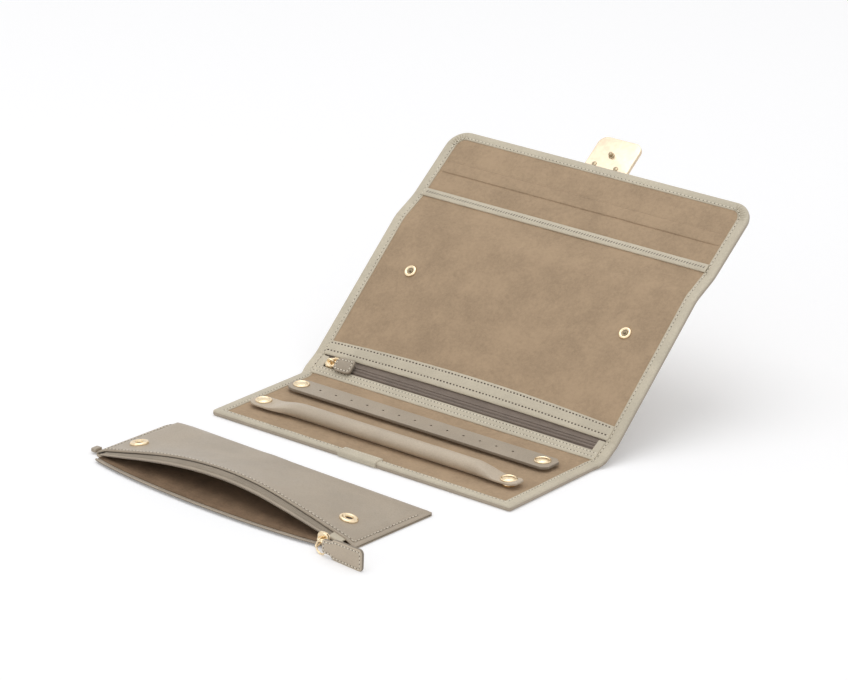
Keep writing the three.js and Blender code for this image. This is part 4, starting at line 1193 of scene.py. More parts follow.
class ROLL_OT_main_zip(bpy.types.Operator):
    """Tapes, closed coil, facings with perforations painted as dark shade, and end patches of the zip
    along the spine
    """
    bl_idname = "roll.main_zip"
    bl_label = "Main zip"

    def execute(self, context):
        line = CREASE[0] + ZIP_LINE
        self.tape("lower", line - 6.0, line - ZIP_GAP, line - ZIP_GAP, "bottom_spine")
        self.tape("upper", line + ZIP_GAP, CREASE[1] + 3.6, line + ZIP_GAP, 1)
        self.coil(line)
        self.facing("lower", "bottom_spine", CREASE[0], LOWER_FACING, LOWER_BOW, (2.6, 1.5),
                    0.75, 0.7)
        self.facing("upper", "back_panel", CREASE[1], UPPER_FACING, UPPER_BOW, (3.3, 1.6),
                    1.5, 0.45)
        self.end_patches()
        return {"FINISHED"}

    def tape(self, label, low, high, coil_side, body):
        tape = sheet_piece(
            "tape_" + label, steps(-ZIP_REACH, ZIP_REACH, 6.0), steps(low, high, 0.16),
            lambda x, s: ZIP_FLAT + tape_rise(abs(s - coil_side)), ZIP_CLOTH, "zip_cloth")
        settle(tape, body, "zip_tape", "zip_tape_" + label)

    def coil(self, line):
        pitch = size_of("tooth_pitch")
        reach = ZIP_REACH - ZIP_END
        marks = []
        for side in (-1, 1):
            s = line + side * 0.3
            lean = Vector((TOOTH_LEAN, side, 0.0)).normalized()
            along = Vector((lean.x, 0, 0)) + FOLD.line(s)[1] * lean.y
            offset = pitch / 2 if side > 0 else 0
            marks += [(FOLD.place(x + offset, s, -0.5), along, FOLD.up(s))
                      for x in steps(-reach, reach, pitch)]
        teeth = row_object("zip_teeth", marks, *TOOTH, "zip_teeth", uneven=0.03)
        settle(teeth, "bottom_spine", "zip_coil", "zip_coil")

    def facing(self, label, body, crease, reach, bow, row_depths, hole, thread_width):
        start, end = (crease + u for u in reach)
        rows = (start + row_depths[0], end - row_depths[1])

        def bowed(x, s):
            share = (s - start) / (end - start)
            return s + lerp(*bow, share) * (1 - (x / ZIP_REACH) ** 2)

        def level(x, s):
            fall = sum(0.2 * math.exp(-((s - line) / 0.45) ** 2) for line in rows)
            rounding = 0.35 * (1 - smoothstep(min(s - start, end - s) / 0.7))
            return FACING_TOP - fall - rounding + wander(x, s, 4.1, 11.0, 0.12)

        strip = sheet_piece(
            "facing_" + label, steps(-ZIP_REACH - 0.8, ZIP_REACH + 0.8, 3.0),
            edged(start, end, (0.15, 0.4, 0.8), 0.42), level, FACING_THICKNESS,
            "facing_leather", lambda x, s, w: FOLD.place(x, bowed(x, s), w))
        settle(strip, body, "facing_leather", "zip_facing_" + label)
        lines = [
            [(x, bowed(x, line), level(x, line) + 0.02)
             for x in steps(-ZIP_REACH + 0.6, ZIP_REACH - 0.6, 3.0)]
            for line in rows]
        pitch = size_of("perforation_pitch")
        # The perforations are dark marks on the facing: painted shade that stands in for the holes.
        holes = stitch_row(f"facing_{label}_holes", lines, "needle_hole", pitch, 0,
                           (hole, hole * 0.95, 0.3), uneven=0.1)
        between = stitch_row(f"facing_{label}_stitches", lines, pitch=pitch, uneven=0.05,
                             size=(pitch - hole - 0.1, thread_width, 0.34))
        for piece in (holes, between):
            settle(piece, body, "facing_leather")

    def end_patches(self):
        for side, label in ((-1, "left"), (1, "right")):
            inner, outer = sorted((side * (ZIP_REACH - ZIP_END + 0.3), side * (ZIP_REACH + 0.6)))
            outline = rounded_outline(inner, CREASE[0] + LOWER_FACING[1] - 0.4, outer,
                                      CREASE[1] - 0.5, (0.8,) * 4, 4)
            bm = bmesh.new()
            plate_rings(bm, split_long(outline, 1.5),
                        soft_levels(-0.2, FACING_TOP - 0.05, 0.1, 0.3), FOLD.place)
            patch = finish_mesh("end_patch_" + label, bm, "facing_leather")
            settle(patch, "bottom_spine", "facing_leather", "zip_end_" + label)


# Zip sliders with their rings and tabs

SLIDER_LENGTH = 8.0
SLIDER_WIDTH = 7.4
PIVOT_HEIGHT = 3.4
RING_RADIUS = 3.4
WIRE_RADIUS = 0.6
TAB_THICKNESS = 2.4
TAB_RADII = (2.2, 3.0, 3.0, 2.2)
TAB_NECK = 0.66
TAB_SEAM = 1.65
TAB_STITCH_PITCH = 2.5
TAB_STITCH = (1.9, 0.8, 0.45)
TAB_HOLE = (0.6, 0.6, 0.45)
LINK_HALF = 1.7
POUCH_RING = 4.0
POUCH_HANG = (2.4, -1.6, 5.8)
MAIN_TAB = (14.8, 10.4, 0.0)
MAIN_TILT = (11.0, -2.0, 1.5)
MAIN_DROP = 1.1
POUCH_TAB = (32.5, 13.0, 6.0)
POUCH_TILT = (0.0, 4.5, 0.0)
POUCH_DROP = -1.9


class ZipPlace:
    """The frame of a slider: X along the zip towards its tab, Y across it, Z off the teeth.

    The ring is as far from the swing's axis as hang says, on a short metal link. The tilt says
    how far the loose tab is turned about those three axes.
    """

    def __init__(self, slide, swing, way, turn, ring, tilt, hang=(0, 0, 0)):
        x = (Vector(JOINTS[slide]["axis"]) * way).normalized()
        y = -Vector(JOINTS[swing]["axis"]).normalized()
        self.basis = Matrix((x, y, x.cross(y))).transposed()
        self.pivot = Vector(JOINTS[swing]["pos_m"]) / MM
        self.turned = self.basis @ Matrix.Rotation(-math.radians(turn), 3, "Y")
        self.ring = ring
        self.hang = Vector(hang)
        self.tilt = Matrix.Identity(3)
        for angle, axis in zip(tilt, "XYZ"):
            self.tilt = Matrix.Rotation(math.radians(angle), 3, axis) @ self.tilt

    def slider(self, x, y, z):
        return self.pivot + self.basis @ Vector((x, y, z - PIVOT_HEIGHT))

    def pull(self, x, y, z):
        return self.pivot + self.turned @ (Vector((x, y, z)) + self.hang)

    def tab(self, x, y, z):
        return self.pivot + self.turned @ (self.tilt @ Vector((x, y, z)) + self.hang)

    def tab_depth(self, point):
        """How far a point is from the middle of the tab's thickness."""
        inside = self.turned.inverted() @ (point - self.pivot) - self.hang
        return (self.tilt.inverted() @ inside).z

    def up(self, side):
        return self.turned @ self.tilt @ Vector((0, 0, side))


def make_slider(name, place, body):
    """The slider's two plates with their flanks, and the arch that holds the ring."""
    bm = bmesh.new()
    half, wing = SLIDER_LENGTH / 2, SLIDER_WIDTH / 2
    side = ((-half, -1.6), (-half + 0.8, -wing * 0.8), (-0.4, -wing), (half - 2.0, -wing * 0.95),
            (half - 0.4, -wing * 0.62), (half, -0.8))
    outline = [Vector(point) for point in side]
    outline += [Vector((x, -y)) for x, y in reversed(side)]
    plate_rings(bm, outline, soft_levels(1.45, 2.5, 0.15, 0.45), place.slider)
    plate_rings(bm, outline, soft_levels(0.0, 0.7, 0.3, 0.15), place.slider)
    for y in (0.55 - wing, wing - 0.55):
        flank = rounded_outline(-half + 1.2, y - 0.5, half - 1.6, y + 0.5, (0.4,) * 4, 3)
        plate_rings(bm, flank, soft_levels(0.3, 1.9, 0.1, 0.1), place.slider)
    arch = []
    for angle in steps(0, math.pi, math.pi / 20):
        rise = max(math.sin(angle), 0) ** 0.75
        arch.append(place.slider(-2.3 * math.cos(angle), 0, 2.35 + 2.85 * rise))
    tube_rings(bm, arch, 0.78)
    settle(finish_mesh(name, bm, "pale_gold", sharp=45), body, "pale_gold", body)


def make_ring(name, place, body):
    """The wire ring of a pull, on its link where it has one."""
    bm = bmesh.new()
    ring = [place.pull(place.ring * (1 - c), place.ring * s, 0) for c, s in circle(48)]
    tube_rings(bm, ring, WIRE_RADIUS, 14, closed=True)
    reach = place.hang.length
    if reach:
        along = place.hang.normalized()
        half = reach / 2 + WIRE_RADIUS
        link = [along * (half * c - reach / 2) + Vector((0, LINK_HALF * s, 0))
                for c, s in circle(40)]
        tube_rings(bm, [place.pull(*point) for point in link], WIRE_RADIUS, 10, closed=True)
    settle(finish_mesh(name, bm, "pale_gold"), body, "pale_gold", body + "_ring")


def make_tab(name, place, body, kind, drop, shape):
    """A folded leather tab, narrower at the wire, with painted edges and a stitched rim.

    The shape is its length, its width and the length of its narrow tongue.
    """
    length, width, tongue = shape
    neck = 2 * place.ring - WIRE_RADIUS - 1.9
    low, high = -width / 2 - drop, width / 2 - drop
    half = TAB_THICKNESS / 2

    def rim(draw):
        """The outline drawn in, with the same points at every depth."""
        return rounded_outline(neck + draw, low + draw, neck + length - draw, high - draw,
                               [max(radius - draw, 0.3) for radius in TAB_RADII], 8, 26)

    def puffed(x, y, z):
        """Thicker where the leather goes round the wire."""
        swell = 0.16 * math.exp(-((x - neck - 2.0) / 1.8) ** 2)
        wide = lerp(TAB_NECK, 0.97, smoothstep((x - neck - tongue) / 4)) + 0.0035 * (x - neck)
        return place.tab(x, -drop + (y + drop) * wide, z * (1 + swell))

    face = [(0.0, 0.2), (0.1, half - 0.35), (0.35, half - 0.08), (0.75, half + 0.02),
            (1.3, half), (TAB_SEAM, half - 0.1), (2.1, half), (2.8, half + 0.14),
            (4.2, half + 0.2)]
    levels = [(draw, -z) for draw, z in reversed(face)] + [(0.14, 0.0)] + face
    bm = bmesh.new()
    add_rings(bm, [[puffed(p.x, p.y, level) for p in rim(draw)] for draw, level in levels])
    cut_wide_faces(bm)
    tab = finish_mesh(name, bm, kind, "edge_paint")
    for face in tab.data.polygons:
        if abs(place.tab_depth(face.center / MM)) < half - 0.36:
            face.material_index = 1
    settle(tab, body, "strap_leather", body + "_tab")
    # Stitches, and dark marks painted as the shade in their needle holes.
    for label, start, size, look in (("_stitches", 0.5, TAB_STITCH, "pale_thread"),
                                     ("_holes", 0, TAB_HOLE, "needle_hole")):
        marks = []
        for side in (1, -1):
            loop = [puffed(p.x, p.y, side * half) for p in rim(TAB_SEAM)]
            loop.append(loop[0])
            marks += spaced(loop, [place.up(side)] * len(loop), TAB_STITCH_PITCH, start)
        settle(row_object(name + label, marks, *size, look), body, "strap_leather")


class ROLL_OT_zip_pulls(bpy.types.Operator):
    """Sliders, wire rings and stitched leather tabs of both zips"""
    bl_idname = "roll.zip_pulls"
    bl_label = "Zip pulls"

    def execute(self, context):
        main = ZipPlace("zip_slide", "zip_pull_swing", 1, 0, RING_RADIUS, MAIN_TILT)
        pouch = ZipPlace("pouch_slide", "pouch_pull_swing", -1, 8, POUCH_RING, POUCH_TILT,
                         POUCH_HANG)
        for label, body, place, kind, drop, shape in (
                ("main", "zip", main, "strap_leather", MAIN_DROP, MAIN_TAB),
                ("pouch", "pouch", pouch, "tab_leather", POUCH_DROP, POUCH_TAB)):
            make_slider("slider_" + label, place, body + "_slider")
            make_ring("pull_ring_" + label, place, body + "_pull")
            make_tab("pull_tab_" + label, place, body + "_pull", kind, drop, shape)
        return {"FINISHED"}


# Ring roll and earring strap

STRAP_LOW = 1.9 + THICKNESS
STRAP_TOP = STRAP_LOW + 2.0
ROLL_Y = -18.7
ROLL_LEFT, ROLL_RIGHT = -97.6, 96.0
ROLL_HEIGHT = 9.5
ROLL_GIRTH = 11.5
ROLL_END_WIDTH = 16.0
ROLL_TAIL_WIDTH = 12.6
ROLL_TAPERS = (26.0, 19.0)
ROLL_TAPER_STARTS = (7.5, 6.5)
PRESSED_HALF = 1.0
STRAP_Y = 19.1
STRAP_LEFT, STRAP_RIGHT = -97.5, 94.0
STRAP_WIDTH = 18.0
STRAP_CLIP = 3.6
STRAP_HOLES = 13
STRAP_HOLE_PITCH = 12.77
STRAP_FIRST_HOLE = 15.5
STRAP_HOLE_RADIUS = 0.85
END_REACH = 8.5
BEND_START, BEND_END = 4.0, 11.0


def bend_strap(piece, body, left, y, *nodes):
    """Bakes a strap's transform and hides the CAD nodes that it stands in for."""
    start, end = (Vector((left + reach, y, STRAP_LOW)) * MM for reach in (BEND_START, BEND_END))
    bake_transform(piece)
    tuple(start)
    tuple(end)
    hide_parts(*nodes)


class ROLL_OT_ring_roll(bpy.types.Operator):
    """The padded ring roll, flat at its riveted end and its snap end, round between"""
    bl_idname = "roll.ring_roll"
    bl_label = "Ring roll"

    def execute(self, context):
        bm = bmesh.new()
        left, right = ROLL_LEFT - END_REACH, ROLL_RIGHT + END_REACH
        rings = []
        for i in range(201):
            share = i / 200
            eased = 0.5 - 0.5 * math.cos(math.pi * share)
            rings.append(self.ring(left + (right - left) * lerp(share, eased, 0.8), left, right))
        add_rings(bm, rings)
        roll = finish_mesh("ring_roll_body", bm, "roll_leather", sharp=60)
        bend_strap(roll, "ring_roll", ROLL_LEFT, ROLL_Y, "ring_roll_anchor", "ring_roll_leather",
                   "ring_roll_core")
        return {"FINISHED"}

    def ring(self, x, left, right):
        """One cross section: a flat pressed end that swells into the padded bar."""
        near = min((x - ROLL_LEFT - ROLL_TAPER_STARTS[0]) / ROLL_TAPERS[0],
                   (ROLL_RIGHT - ROLL_TAPER_STARTS[1] - x) / ROLL_TAPERS[1])
        swell = smoothstep(near) ** 0.8
        tip = min(x - left, right - x)
        if x < 0:
            radius = ROLL_END_WIDTH / 2
            end_half = max(max(radius ** 2 - max(radius - tip, 0) ** 2, 0) ** 0.5, 0.4)
        else:
            end_half = ROLL_TAIL_WIDTH / 2 - max(3.2 - tip, 0) * 0.9
        half_width = lerp(end_half, ROLL_GIRTH / 2, swell)
        half_height = lerp(PRESSED_HALF, ROLL_HEIGHT / 2, swell)
        if tip < 0.8:
            half_height *= max(math.sqrt(max(1 - (1 - tip / 0.8) ** 2, 0)), 0.25)
        middle = lerp(STRAP_LOW + PRESSED_HALF, THICKNESS + 0.1 + ROLL_HEIGHT / 2, swell)
        if x > 0:
            middle += 0.7 * (1 - swell) * smoothstep((x - ROLL_RIGHT) / END_REACH)
        square = lerp(0.42, 1.0, swell)
        gather = math.sin(math.pi * min(max(near * 0.9 + 0.1, 0), 1)) ** 2 * 0.02
        points = []
        for c, s in circle(48, 0.5):
            angle = math.atan2(s, c)
            fold = 1 + gather * math.sin(7 * angle + 0.05 * x)
            fold += 0.012 * noise.noise(Vector((x / 9, 3 * c, 3 * s)))
            points.append(Vector((x, ROLL_Y + half_width * fold * signed_power(c, square),
                                  middle + half_height * fold * signed_power(s, square))))
        return points


class ROLL_OT_earring_strap(bpy.types.Operator):
    """The pierced strap with its round riveted end, clipped snap end and painted edges"""
    bl_idname = "roll.earring_strap"
    bl_label = "Earring strap"

    def execute(self, context):
        bm = bmesh.new()
        levels = [(1.0, STRAP_LOW)] + soft_levels(STRAP_LOW, STRAP_TOP, 0.35, 0.5)
        levels.append((1.0, STRAP_TOP))
        plate_rings(bm, self.outline(), levels, lambda x, y, z: Vector((x, STRAP_Y + y, z)))
        self.cut_across(bm)
        strap = finish_mesh("strap_body", bm, "strap_leather", "edge_paint")
        self.pierce(strap)
        for face in strap.data.polygons:
            if abs(face.normal.z) < 0.5 and face.center.z / MM < STRAP_TOP:
                face.material_index = 1
        bend_strap(strap, "earring_strap", STRAP_LEFT, STRAP_Y, "strap_anchor", "earring_strap")
        return {"FINISHED"}

    def outline(self):
        half = STRAP_WIDTH / 2
        left, right = STRAP_LEFT - END_REACH, STRAP_RIGHT + END_REACH
        points = []
        for i in range(17):
            angle = math.radians(90 + 180 * i / 16)
            points.append(Vector((left + half + half * math.cos(angle), half * math.sin(angle))))
        clip = STRAP_CLIP
        points += [Vector((right - clip, -half)), Vector((right - 0.4, -half + clip - 0.4)),
                   Vector((right, -half + clip)), Vector((right, half - clip)),
                   Vector((right - 0.4, half - clip + 0.4)), Vector((right - clip, half))]
        return split_long(points, 3.0)

    def cut_across(self, bm):
        """Even rows of edges across the strap: close where it bends, one between two holes."""
        hinge = steps(STRAP_LEFT + BEND_START - 1, STRAP_LEFT + BEND_END + 1, 0.8)
        first = STRAP_LEFT + STRAP_FIRST_HOLE - STRAP_HOLE_PITCH / 2
        between = [first + i * STRAP_HOLE_PITCH for i in range(1, STRAP_HOLES + 1)]
        for x in hinge + between:
            geometry = bm.verts[:] + bm.edges[:] + bm.faces[:]
            bmesh.ops.bisect_plane(bm, geom=geometry, plane_co=(x, 0, 0), plane_no=(1, 0, 0))

    def pierce(self, strap):
        """Cuts the round earring holes."""
        bm = bmesh.new()
        radius = STRAP_HOLE_RADIUS
        for i in range(STRAP_HOLES):
            x = STRAP_LEFT + STRAP_FIRST_HOLE + i * STRAP_HOLE_PITCH
            add_rings(bm, [
                [Vector((x + radius * c, STRAP_Y + radius * s, z)) for c, s in circle(20)]
                for z in (STRAP_LOW - 1, STRAP_TOP + 1)])
        tool = finish_mesh("hole_tool", bm, "edge_paint")
        modifier = strap.modifiers.new("holes", "BOOLEAN")
        modifier.operation = "DIFFERENCE"
        modifier.solver = "EXACT"
        modifier.object = tool
        apply_modifier(strap, modifier).set_sharp_from_angle(angle=math.radians(38))
        bpy.data.objects.remove(tool)


# Snaps

CAP_PROFILE = (
    (0.0, 1.5), (1.2, 1.46), (2.4, 1.28), (3.3, 1.0), (3.9, 0.68), (4.1, 0.58), (4.3, 0.66),
    (4.6, 0.92), (4.9, 1.0), (5.2, 0.86), (5.45, 0.55), (5.5, 0.25), (5.4, 0.0), (0.0, 0.0),
)
UNDER_PROFILE = (
    (0.0, 0.0), (1.6, 0.0), (1.6, -0.3), (4.0, -0.35), (4.2, -0.55), (4.2, -1.1), (3.9, -1.3),
    (2.4, -1.3), (2.4, -0.65), (0.0, -0.65),
)
STUD_PROFILE = (
    (0.0, 0.95), (1.2, 0.95), (1.75, 0.85), (2.05, 0.6), (1.9, 0.35), (2.2, 0.28), (3.9, 0.26),
    (4.2, 0.12), (4.2, -0.05), (0.0, -0.05),
)
POUCH_STUD_PROFILE = (
    (0.0, 1.35), (0.5, 1.32), (0.8, 1.0), (0.85, 0.4), (1.2, 0.3), (1.9, 0.32), (2.3, 0.5),
    (2.5, 0.85), (3.1, 1.05), (3.6, 1.0), (4.05, 0.72), (4.3, 0.35), (4.3, -0.1), (0.0, -0.1),
)
# The panel studs' recessed middle, out to this radius, is painted darker as shade.
POUCH_STUD_CORE = 2.3
CAP_GAP = 0.02


def spun_piece(name, profile, place, body, *nodes, kind="pale_gold", slot="pale_gold", core=0.0):
    """A turned fitting on its body; its core, out to that radius, is darker, as painted shade in its
    recess.
    """
    bm = bmesh.new()
    spun_rings(bm, profile, place, core)
    settle(finish_mesh(name, bm, kind, "aged_gold", sharp=50), body, slot, *nodes)


def fold_seat(x, s, level):
    """The seat of a fitting that stands on the fold."""
    return seat_at(FOLD.place(x, s, level), across=FOLD.line(s)[1], up=FOLD.up(s))


def centre_of(node):
    return (low_corner(node) + high_corner(node)) / 2


class ROLL_OT_snaps(bpy.types.Operator):
    """Domed caps, sockets and studs of the straps, and the pouch studs on the back panel"""
    bl_idname = "roll.snaps"
    bl_label = "Snaps"

    def execute(self, context):
        for prefix, body, y, left, right in (
                ("ring_roll", "ring_roll", ROLL_Y, ROLL_LEFT, ROLL_RIGHT),
                ("strap", "earring_strap", STRAP_Y, STRAP_LEFT, STRAP_RIGHT)):
            for label, x, rider in (("rivet", left, "front_panel"), ("cap", right, body)):
                name = f"{prefix}_{label}"
                spun_piece(name + "_dome", CAP_PROFILE,
                           seat_at(Vector((x, y, STRAP_TOP + CAP_GAP))), rider, name)
                spun_piece(name + "_socket", UNDER_PROFILE, seat_at(Vector((x, y, STRAP_LOW))),
                           rider)
            spun_piece(prefix + "_stud_base", STUD_PROFILE,
                       seat_at(Vector((right, y, THICKNESS + FACING_LOW))), "front_panel",
                       prefix + "_stud")
        for side in ("left", "right"):
            centre = centre_of("pouch_stud_" + side)
            spun_piece("panel_stud_" + side, POUCH_STUD_PROFILE,
                       fold_seat(centre.x, fold_level(centre)[0], FACING_LOW), "back_panel",
                       "pouch_stud_" + side, core=POUCH_STUD_CORE)
        return {"FINISHED"}


# Clasp

CLASP_HALF = 16.8
CLASP_REACH = 25.0
CLASP_SHIFT = 1.2
CLASP_LOW = -5.1
CLASP_TOP = -2.3
CLASP_LIP_TOP = -3.7
CLASP_STUD = 11.2
CLASP_RIVET_X = 8.5
CLASP_RIVET_REACH = 2.2
CLASP_STUD_PROFILE = (
    (0.0, 3.2), (0.5, 3.15), (1.05, 2.9), (1.4, 2.4), (1.5, 1.9), (1.25, 1.3), (1.3, 0.75),
    (1.9, 0.55), (2.1, 0.3), (2.1, 0.05), (0.0, 0.05),
)
CLASP_RIVET_PROFILE = (
    (0.0, 0.75), (0.5, 0.72), (0.8, 0.5), (1.2, 0.55), (1.6, 0.4), (1.75, 0.1), (1.75, 0.02),
    (0.0, 0.02),
)


class ROLL_OT_clasp(bpy.types.Operator):
    """The pale metal clasp past the flap's edge, with its stud and two rivets"""
    bl_idname = "roll.clasp"
    bl_label = "Clasp"

    def execute(self, context):
        edge = FOLD.end
        left, right = CLASP_SHIFT - CLASP_HALF, CLASP_SHIFT + CLASP_HALF
        bm = bmesh.new()
        body = rounded_outline(left, edge + 0.35, right, edge + CLASP_REACH,
                               (0.6, 0.6, 6.5, 6.5), 12)
        middle = (CLASP_LOW + CLASP_TOP) / 2
        levels = soft_levels(CLASP_LOW, middle - 0.12, 0.45, 0.1)
        levels += [(0.28, middle - 0.1), (0.28, middle + 0.1)]
        levels += soft_levels(middle + 0.12, CLASP_TOP, 0.1, 0.5)
        plate_rings(bm, split_long(body, 3.0), levels, FOLD.place)
        lip = rounded_outline(left, edge - 5.0, right, edge + 1.0, (1.5, 1.5, 0.2, 0.2))
        plate_rings(bm, lip, soft_levels(CLASP_LOW, CLASP_LIP_TOP, 0.3, 0.2), FOLD.place)
        settle(finish_mesh("clasp_body", bm, "clasp_metal", sharp=32), "flap", "clasp_metal",
               "clasp_plate")
        stud = fold_seat(0, edge + CLASP_STUD, CLASP_TOP)
        spun_piece("clasp_lock_stud", CLASP_STUD_PROFILE, stud, "flap", "clasp_stud",
                   kind="clasp_fittings")
        for side, x in (("left", -CLASP_RIVET_X), ("right", CLASP_RIVET_X)):
            rivet = fold_seat(x, edge + CLASP_RIVET_REACH, CLASP_TOP)
            spun_piece("rivet_head_" + side, CLASP_RIVET_PROFILE, rivet, "flap",
                       "clasp_rivet_" + side, kind="clasp_fittings")
        return {"FINISHED"}


# Lock strip

STRIP_HALF = 15.0
STRIP_REACH = 7.0
STRIP_OUT = 2.0
STRIP_WALL = 0.75


class ROLL_OT_lock_strip(bpy.types.Operator):
    """The leather strip round the front edge and the lock plate in its underside"""
    bl_idname = "roll.lock_strip"
    bl_label = "Lock strip"

    def execute(self, context):
        far = high_corner("lock_strip").y
        front = FOLD.corners[0].y
        turn_at = front + 0.9
        top = THICKNESS + 1.05
        middle, half = (top + 0.1) / 2, (top - 0.1) / 2
        line = [(far, 0.15), (far - 20, 0.12), (front + 4, 0.1)]
        for degrees in range(-90, 91, 15):
            angle = math.radians(degrees)
            out = STRIP_OUT * math.cos(angle) ** 0.7 if abs(degrees) < 90 else 0.0
            rise = signed_power(math.sin(angle), EDGE_SQUARE)
            line.append((turn_at - out, middle + half * rise))
        line += [(front + 2.5, top + 0.12), (front + 4.2, top + 0.1), (front + 5.4, top - 0.05),
                 (front + 6.4, top + 0.02), (front + STRIP_REACH, top - 0.1)]

        def drawn_in(x, y, z, draw):
            """A point of the wrap drawn in towards the panel."""
            if y >= turn_at:
                return Vector((x, y, z + (draw if z < middle else -draw)))
            towards = Vector((0, turn_at - y, middle - z))
            if towards.length > 1e-6:
                towards = towards.normalized() * draw
            return Vector((x, y, z)) + towards

        outside = []
        inside = []
        for x in edged(-STRIP_HALF, STRIP_HALF, (0.15, 0.5, 1.2), 1.2):
            edge = smoothstep((STRIP_HALF - abs(x)) / 0.6)
            outside.append([drawn_in(x, y, z, 0.35 * (1 - edge)) for y, z in line])
            inside.append([drawn_in(x, y, z, STRIP_WALL) for y, z in line])
        bm = bmesh.new()
        add_sheet(bm, outside, inside)
        strip = finish_mesh("lock_strip_leather", bm, "border_leather")
        settle(strip, "front_panel", "cover_leather", "lock_strip")
        self.stitches(front, top)
        plate = frame["nodes"]["lock_plate"]
        plate.data.materials.clear()
        plate.data.materials.append(finish("clasp_metal"))
        return {"FINISHED"}

    def stitches(self, front, top):
        reach = STRIP_HALF - 1.3
        ys = steps(front + 0.5, front + STRIP_REACH - 1.0, 1.0)
        across = steps(-STRIP_HALF + 1, STRIP_HALF - 1, 3.0)
        marks = []
        for line, pitch in (
                ([Vector((-reach, y, top + 0.1)) for y in ys], 1.9),
                ([Vector((reach, y, top + 0.1)) for y in ys], 1.9),
                ([Vector((x, front + 5.4, top)) for x in across], 2.2)):
            marks += spaced(line, [UP] * len(line), pitch)
        row = row_object("lock_strip_stitches", marks, 1.5, 0.5, 0.45, "pale_thread")
        settle(row, "front_panel", "cover_leather")


# Pouch

POUCH_PLACE = Vector((-19.0, -76.1, 0.0))
POUCH_TURN = math.radians(-2.4)
POUCH_HALF = 105.2
POUCH_DEPTH = 72.4
POUCH_LEATHER = 1.0
POUCH_HEM = 8.0
POUCH_PUFF = 1.6
POUCH_SWELL = 1.8
POUCH_RISE = 16.5
POUCH_BOW = 12.5
POUCH_CORNERS = (14.0, 2.6)
POUCH_SEAM = 3.1
HEM_OVER_TAPE = 2.2
COIL_BAND = 2.1
POUCH_FLOOR = 1.3
TAPE_WIDTH = 5.6
TAPE_TUCK = 2.0
TAPE_THICKNESS = 0.5
TAPE_DROOP = 3.6
TAPE_HALF = 97.2
PATCH_REACH = 6.0
POUCH_TOOTH = (1.5, 0.9, 0.8)
POUCH_STITCH = (2.0, 0.66, 0.55)
POUCH_CLOTH_RIDGE = 0.6
SOCKET_PROFILE = (
    (2.3, -0.2), (2.3, 0.9), (2.5, 1.25), (3.0, 1.15), (3.4, 1.05), (4.1, 1.45), (4.8, 1.7),
    (5.5, 1.5), (5.9, 1.0), (6.0, 0.4), (5.9, -0.2), (2.3, -0.2),
)
# A flat disc in the socket's middle, painted dark as the shade in its hole.
WELL_PROFILE = ((0.0, 0.32), (2.35, 0.32), (2.35, 0.0), (0.0, 0.0))


def gape(x):
    """How far the mouth stands open at x: 1 in the middle and 0 at both ends."""
    return math.cos(math.pi / 2 * min(abs(x) / POUCH_HALF, 1)) ** 1.1


def mouth_bow(x):
    """How far the lower panel's front edge bows out at x."""
    return POUCH_BOW * max(1 - (x / POUCH_HALF) ** 2, 0) ** 0.6


def pouch_place(x, y, z):
    """The place of a point given in the pouch's own frame."""
    return POUCH_PLACE + Matrix.Rotation(POUCH_TURN, 3, "Z") @ Vector((x, y, z))


def upper_panel(x, reach):
    """Underside of the pouch's upper panel in the pouch's own frame."""
    seam = smoothstep(min(POUCH_HALF - abs(x), reach) / POUCH_HEM)
    lift = POUCH_RISE * gape(x) * (max(reach, 0) / POUCH_DEPTH) ** 1.5
    dent = seam * smoothstep((POUCH_DEPTH - reach) / 14 + 0.25) * (
        wander(x, reach, 9.4, 30.0, 0.9) + wander(x, reach, 2.2, 11.0, 0.25))
    swell = POUCH_SWELL * gape(x) * math.exp(-((reach - 18.0) / 16.0) ** 2)
    y = -math.sqrt(max(reach ** 2 - lift ** 2, 0))
    return Vector((x, y, POUCH_FLOOR + (POUCH_PUFF + swell) * seam + lift + dent))


def corner_cut(x):
    """How far the rounded back corners draw the back edge in at x."""
    radius = POUCH_CORNERS[x > 0]
    over = abs(x) - (POUCH_HALF - radius)
    if over <= 0:
        return 0.0
    return radius - math.sqrt(max(radius ** 2 - min(over, radius) ** 2, 0))


def tape_top(x, reach):
    """Upper face of the upper tape, which droops past the leather's edge."""
    edge = upper_panel(x, POUCH_DEPTH)
    droop = TAPE_DROOP * gape(x) / TAPE_WIDTH
    tucked = upper_panel(x, min(reach, POUCH_DEPTH))
    past = max(reach - POUCH_DEPTH, 0)
    y = edge.y - past * math.sqrt(1 - droop ** 2) if past else tucked.y
    return Vector((x, y, tucked.z - 0.3 - past * droop))


def shell(name, kinds, slot, nodes, xs, shares, top_at, thickness_at, band=2.0):
    """A closed sheet of the pouch, from top points and a thickness at each place.

    Past the share called band it takes the second of its kinds.
    """
    upper = []
    lower = []
    for share in shares:
        tops = [top_at(x, share) for x in xs]
        upper.append([pouch_place(*point) for point in tops])
        lower.append([pouch_place(point.x, point.y, point.z - thickness_at(x, share))
                      for x, point in zip(xs, tops)])
    bm = bmesh.new()
    add_sheet(bm, upper, lower, [int(share >= band) for share in shares])
    settle(finish_mesh(name, bm, *kinds, sharp=55), "pouch", slot, *nodes)


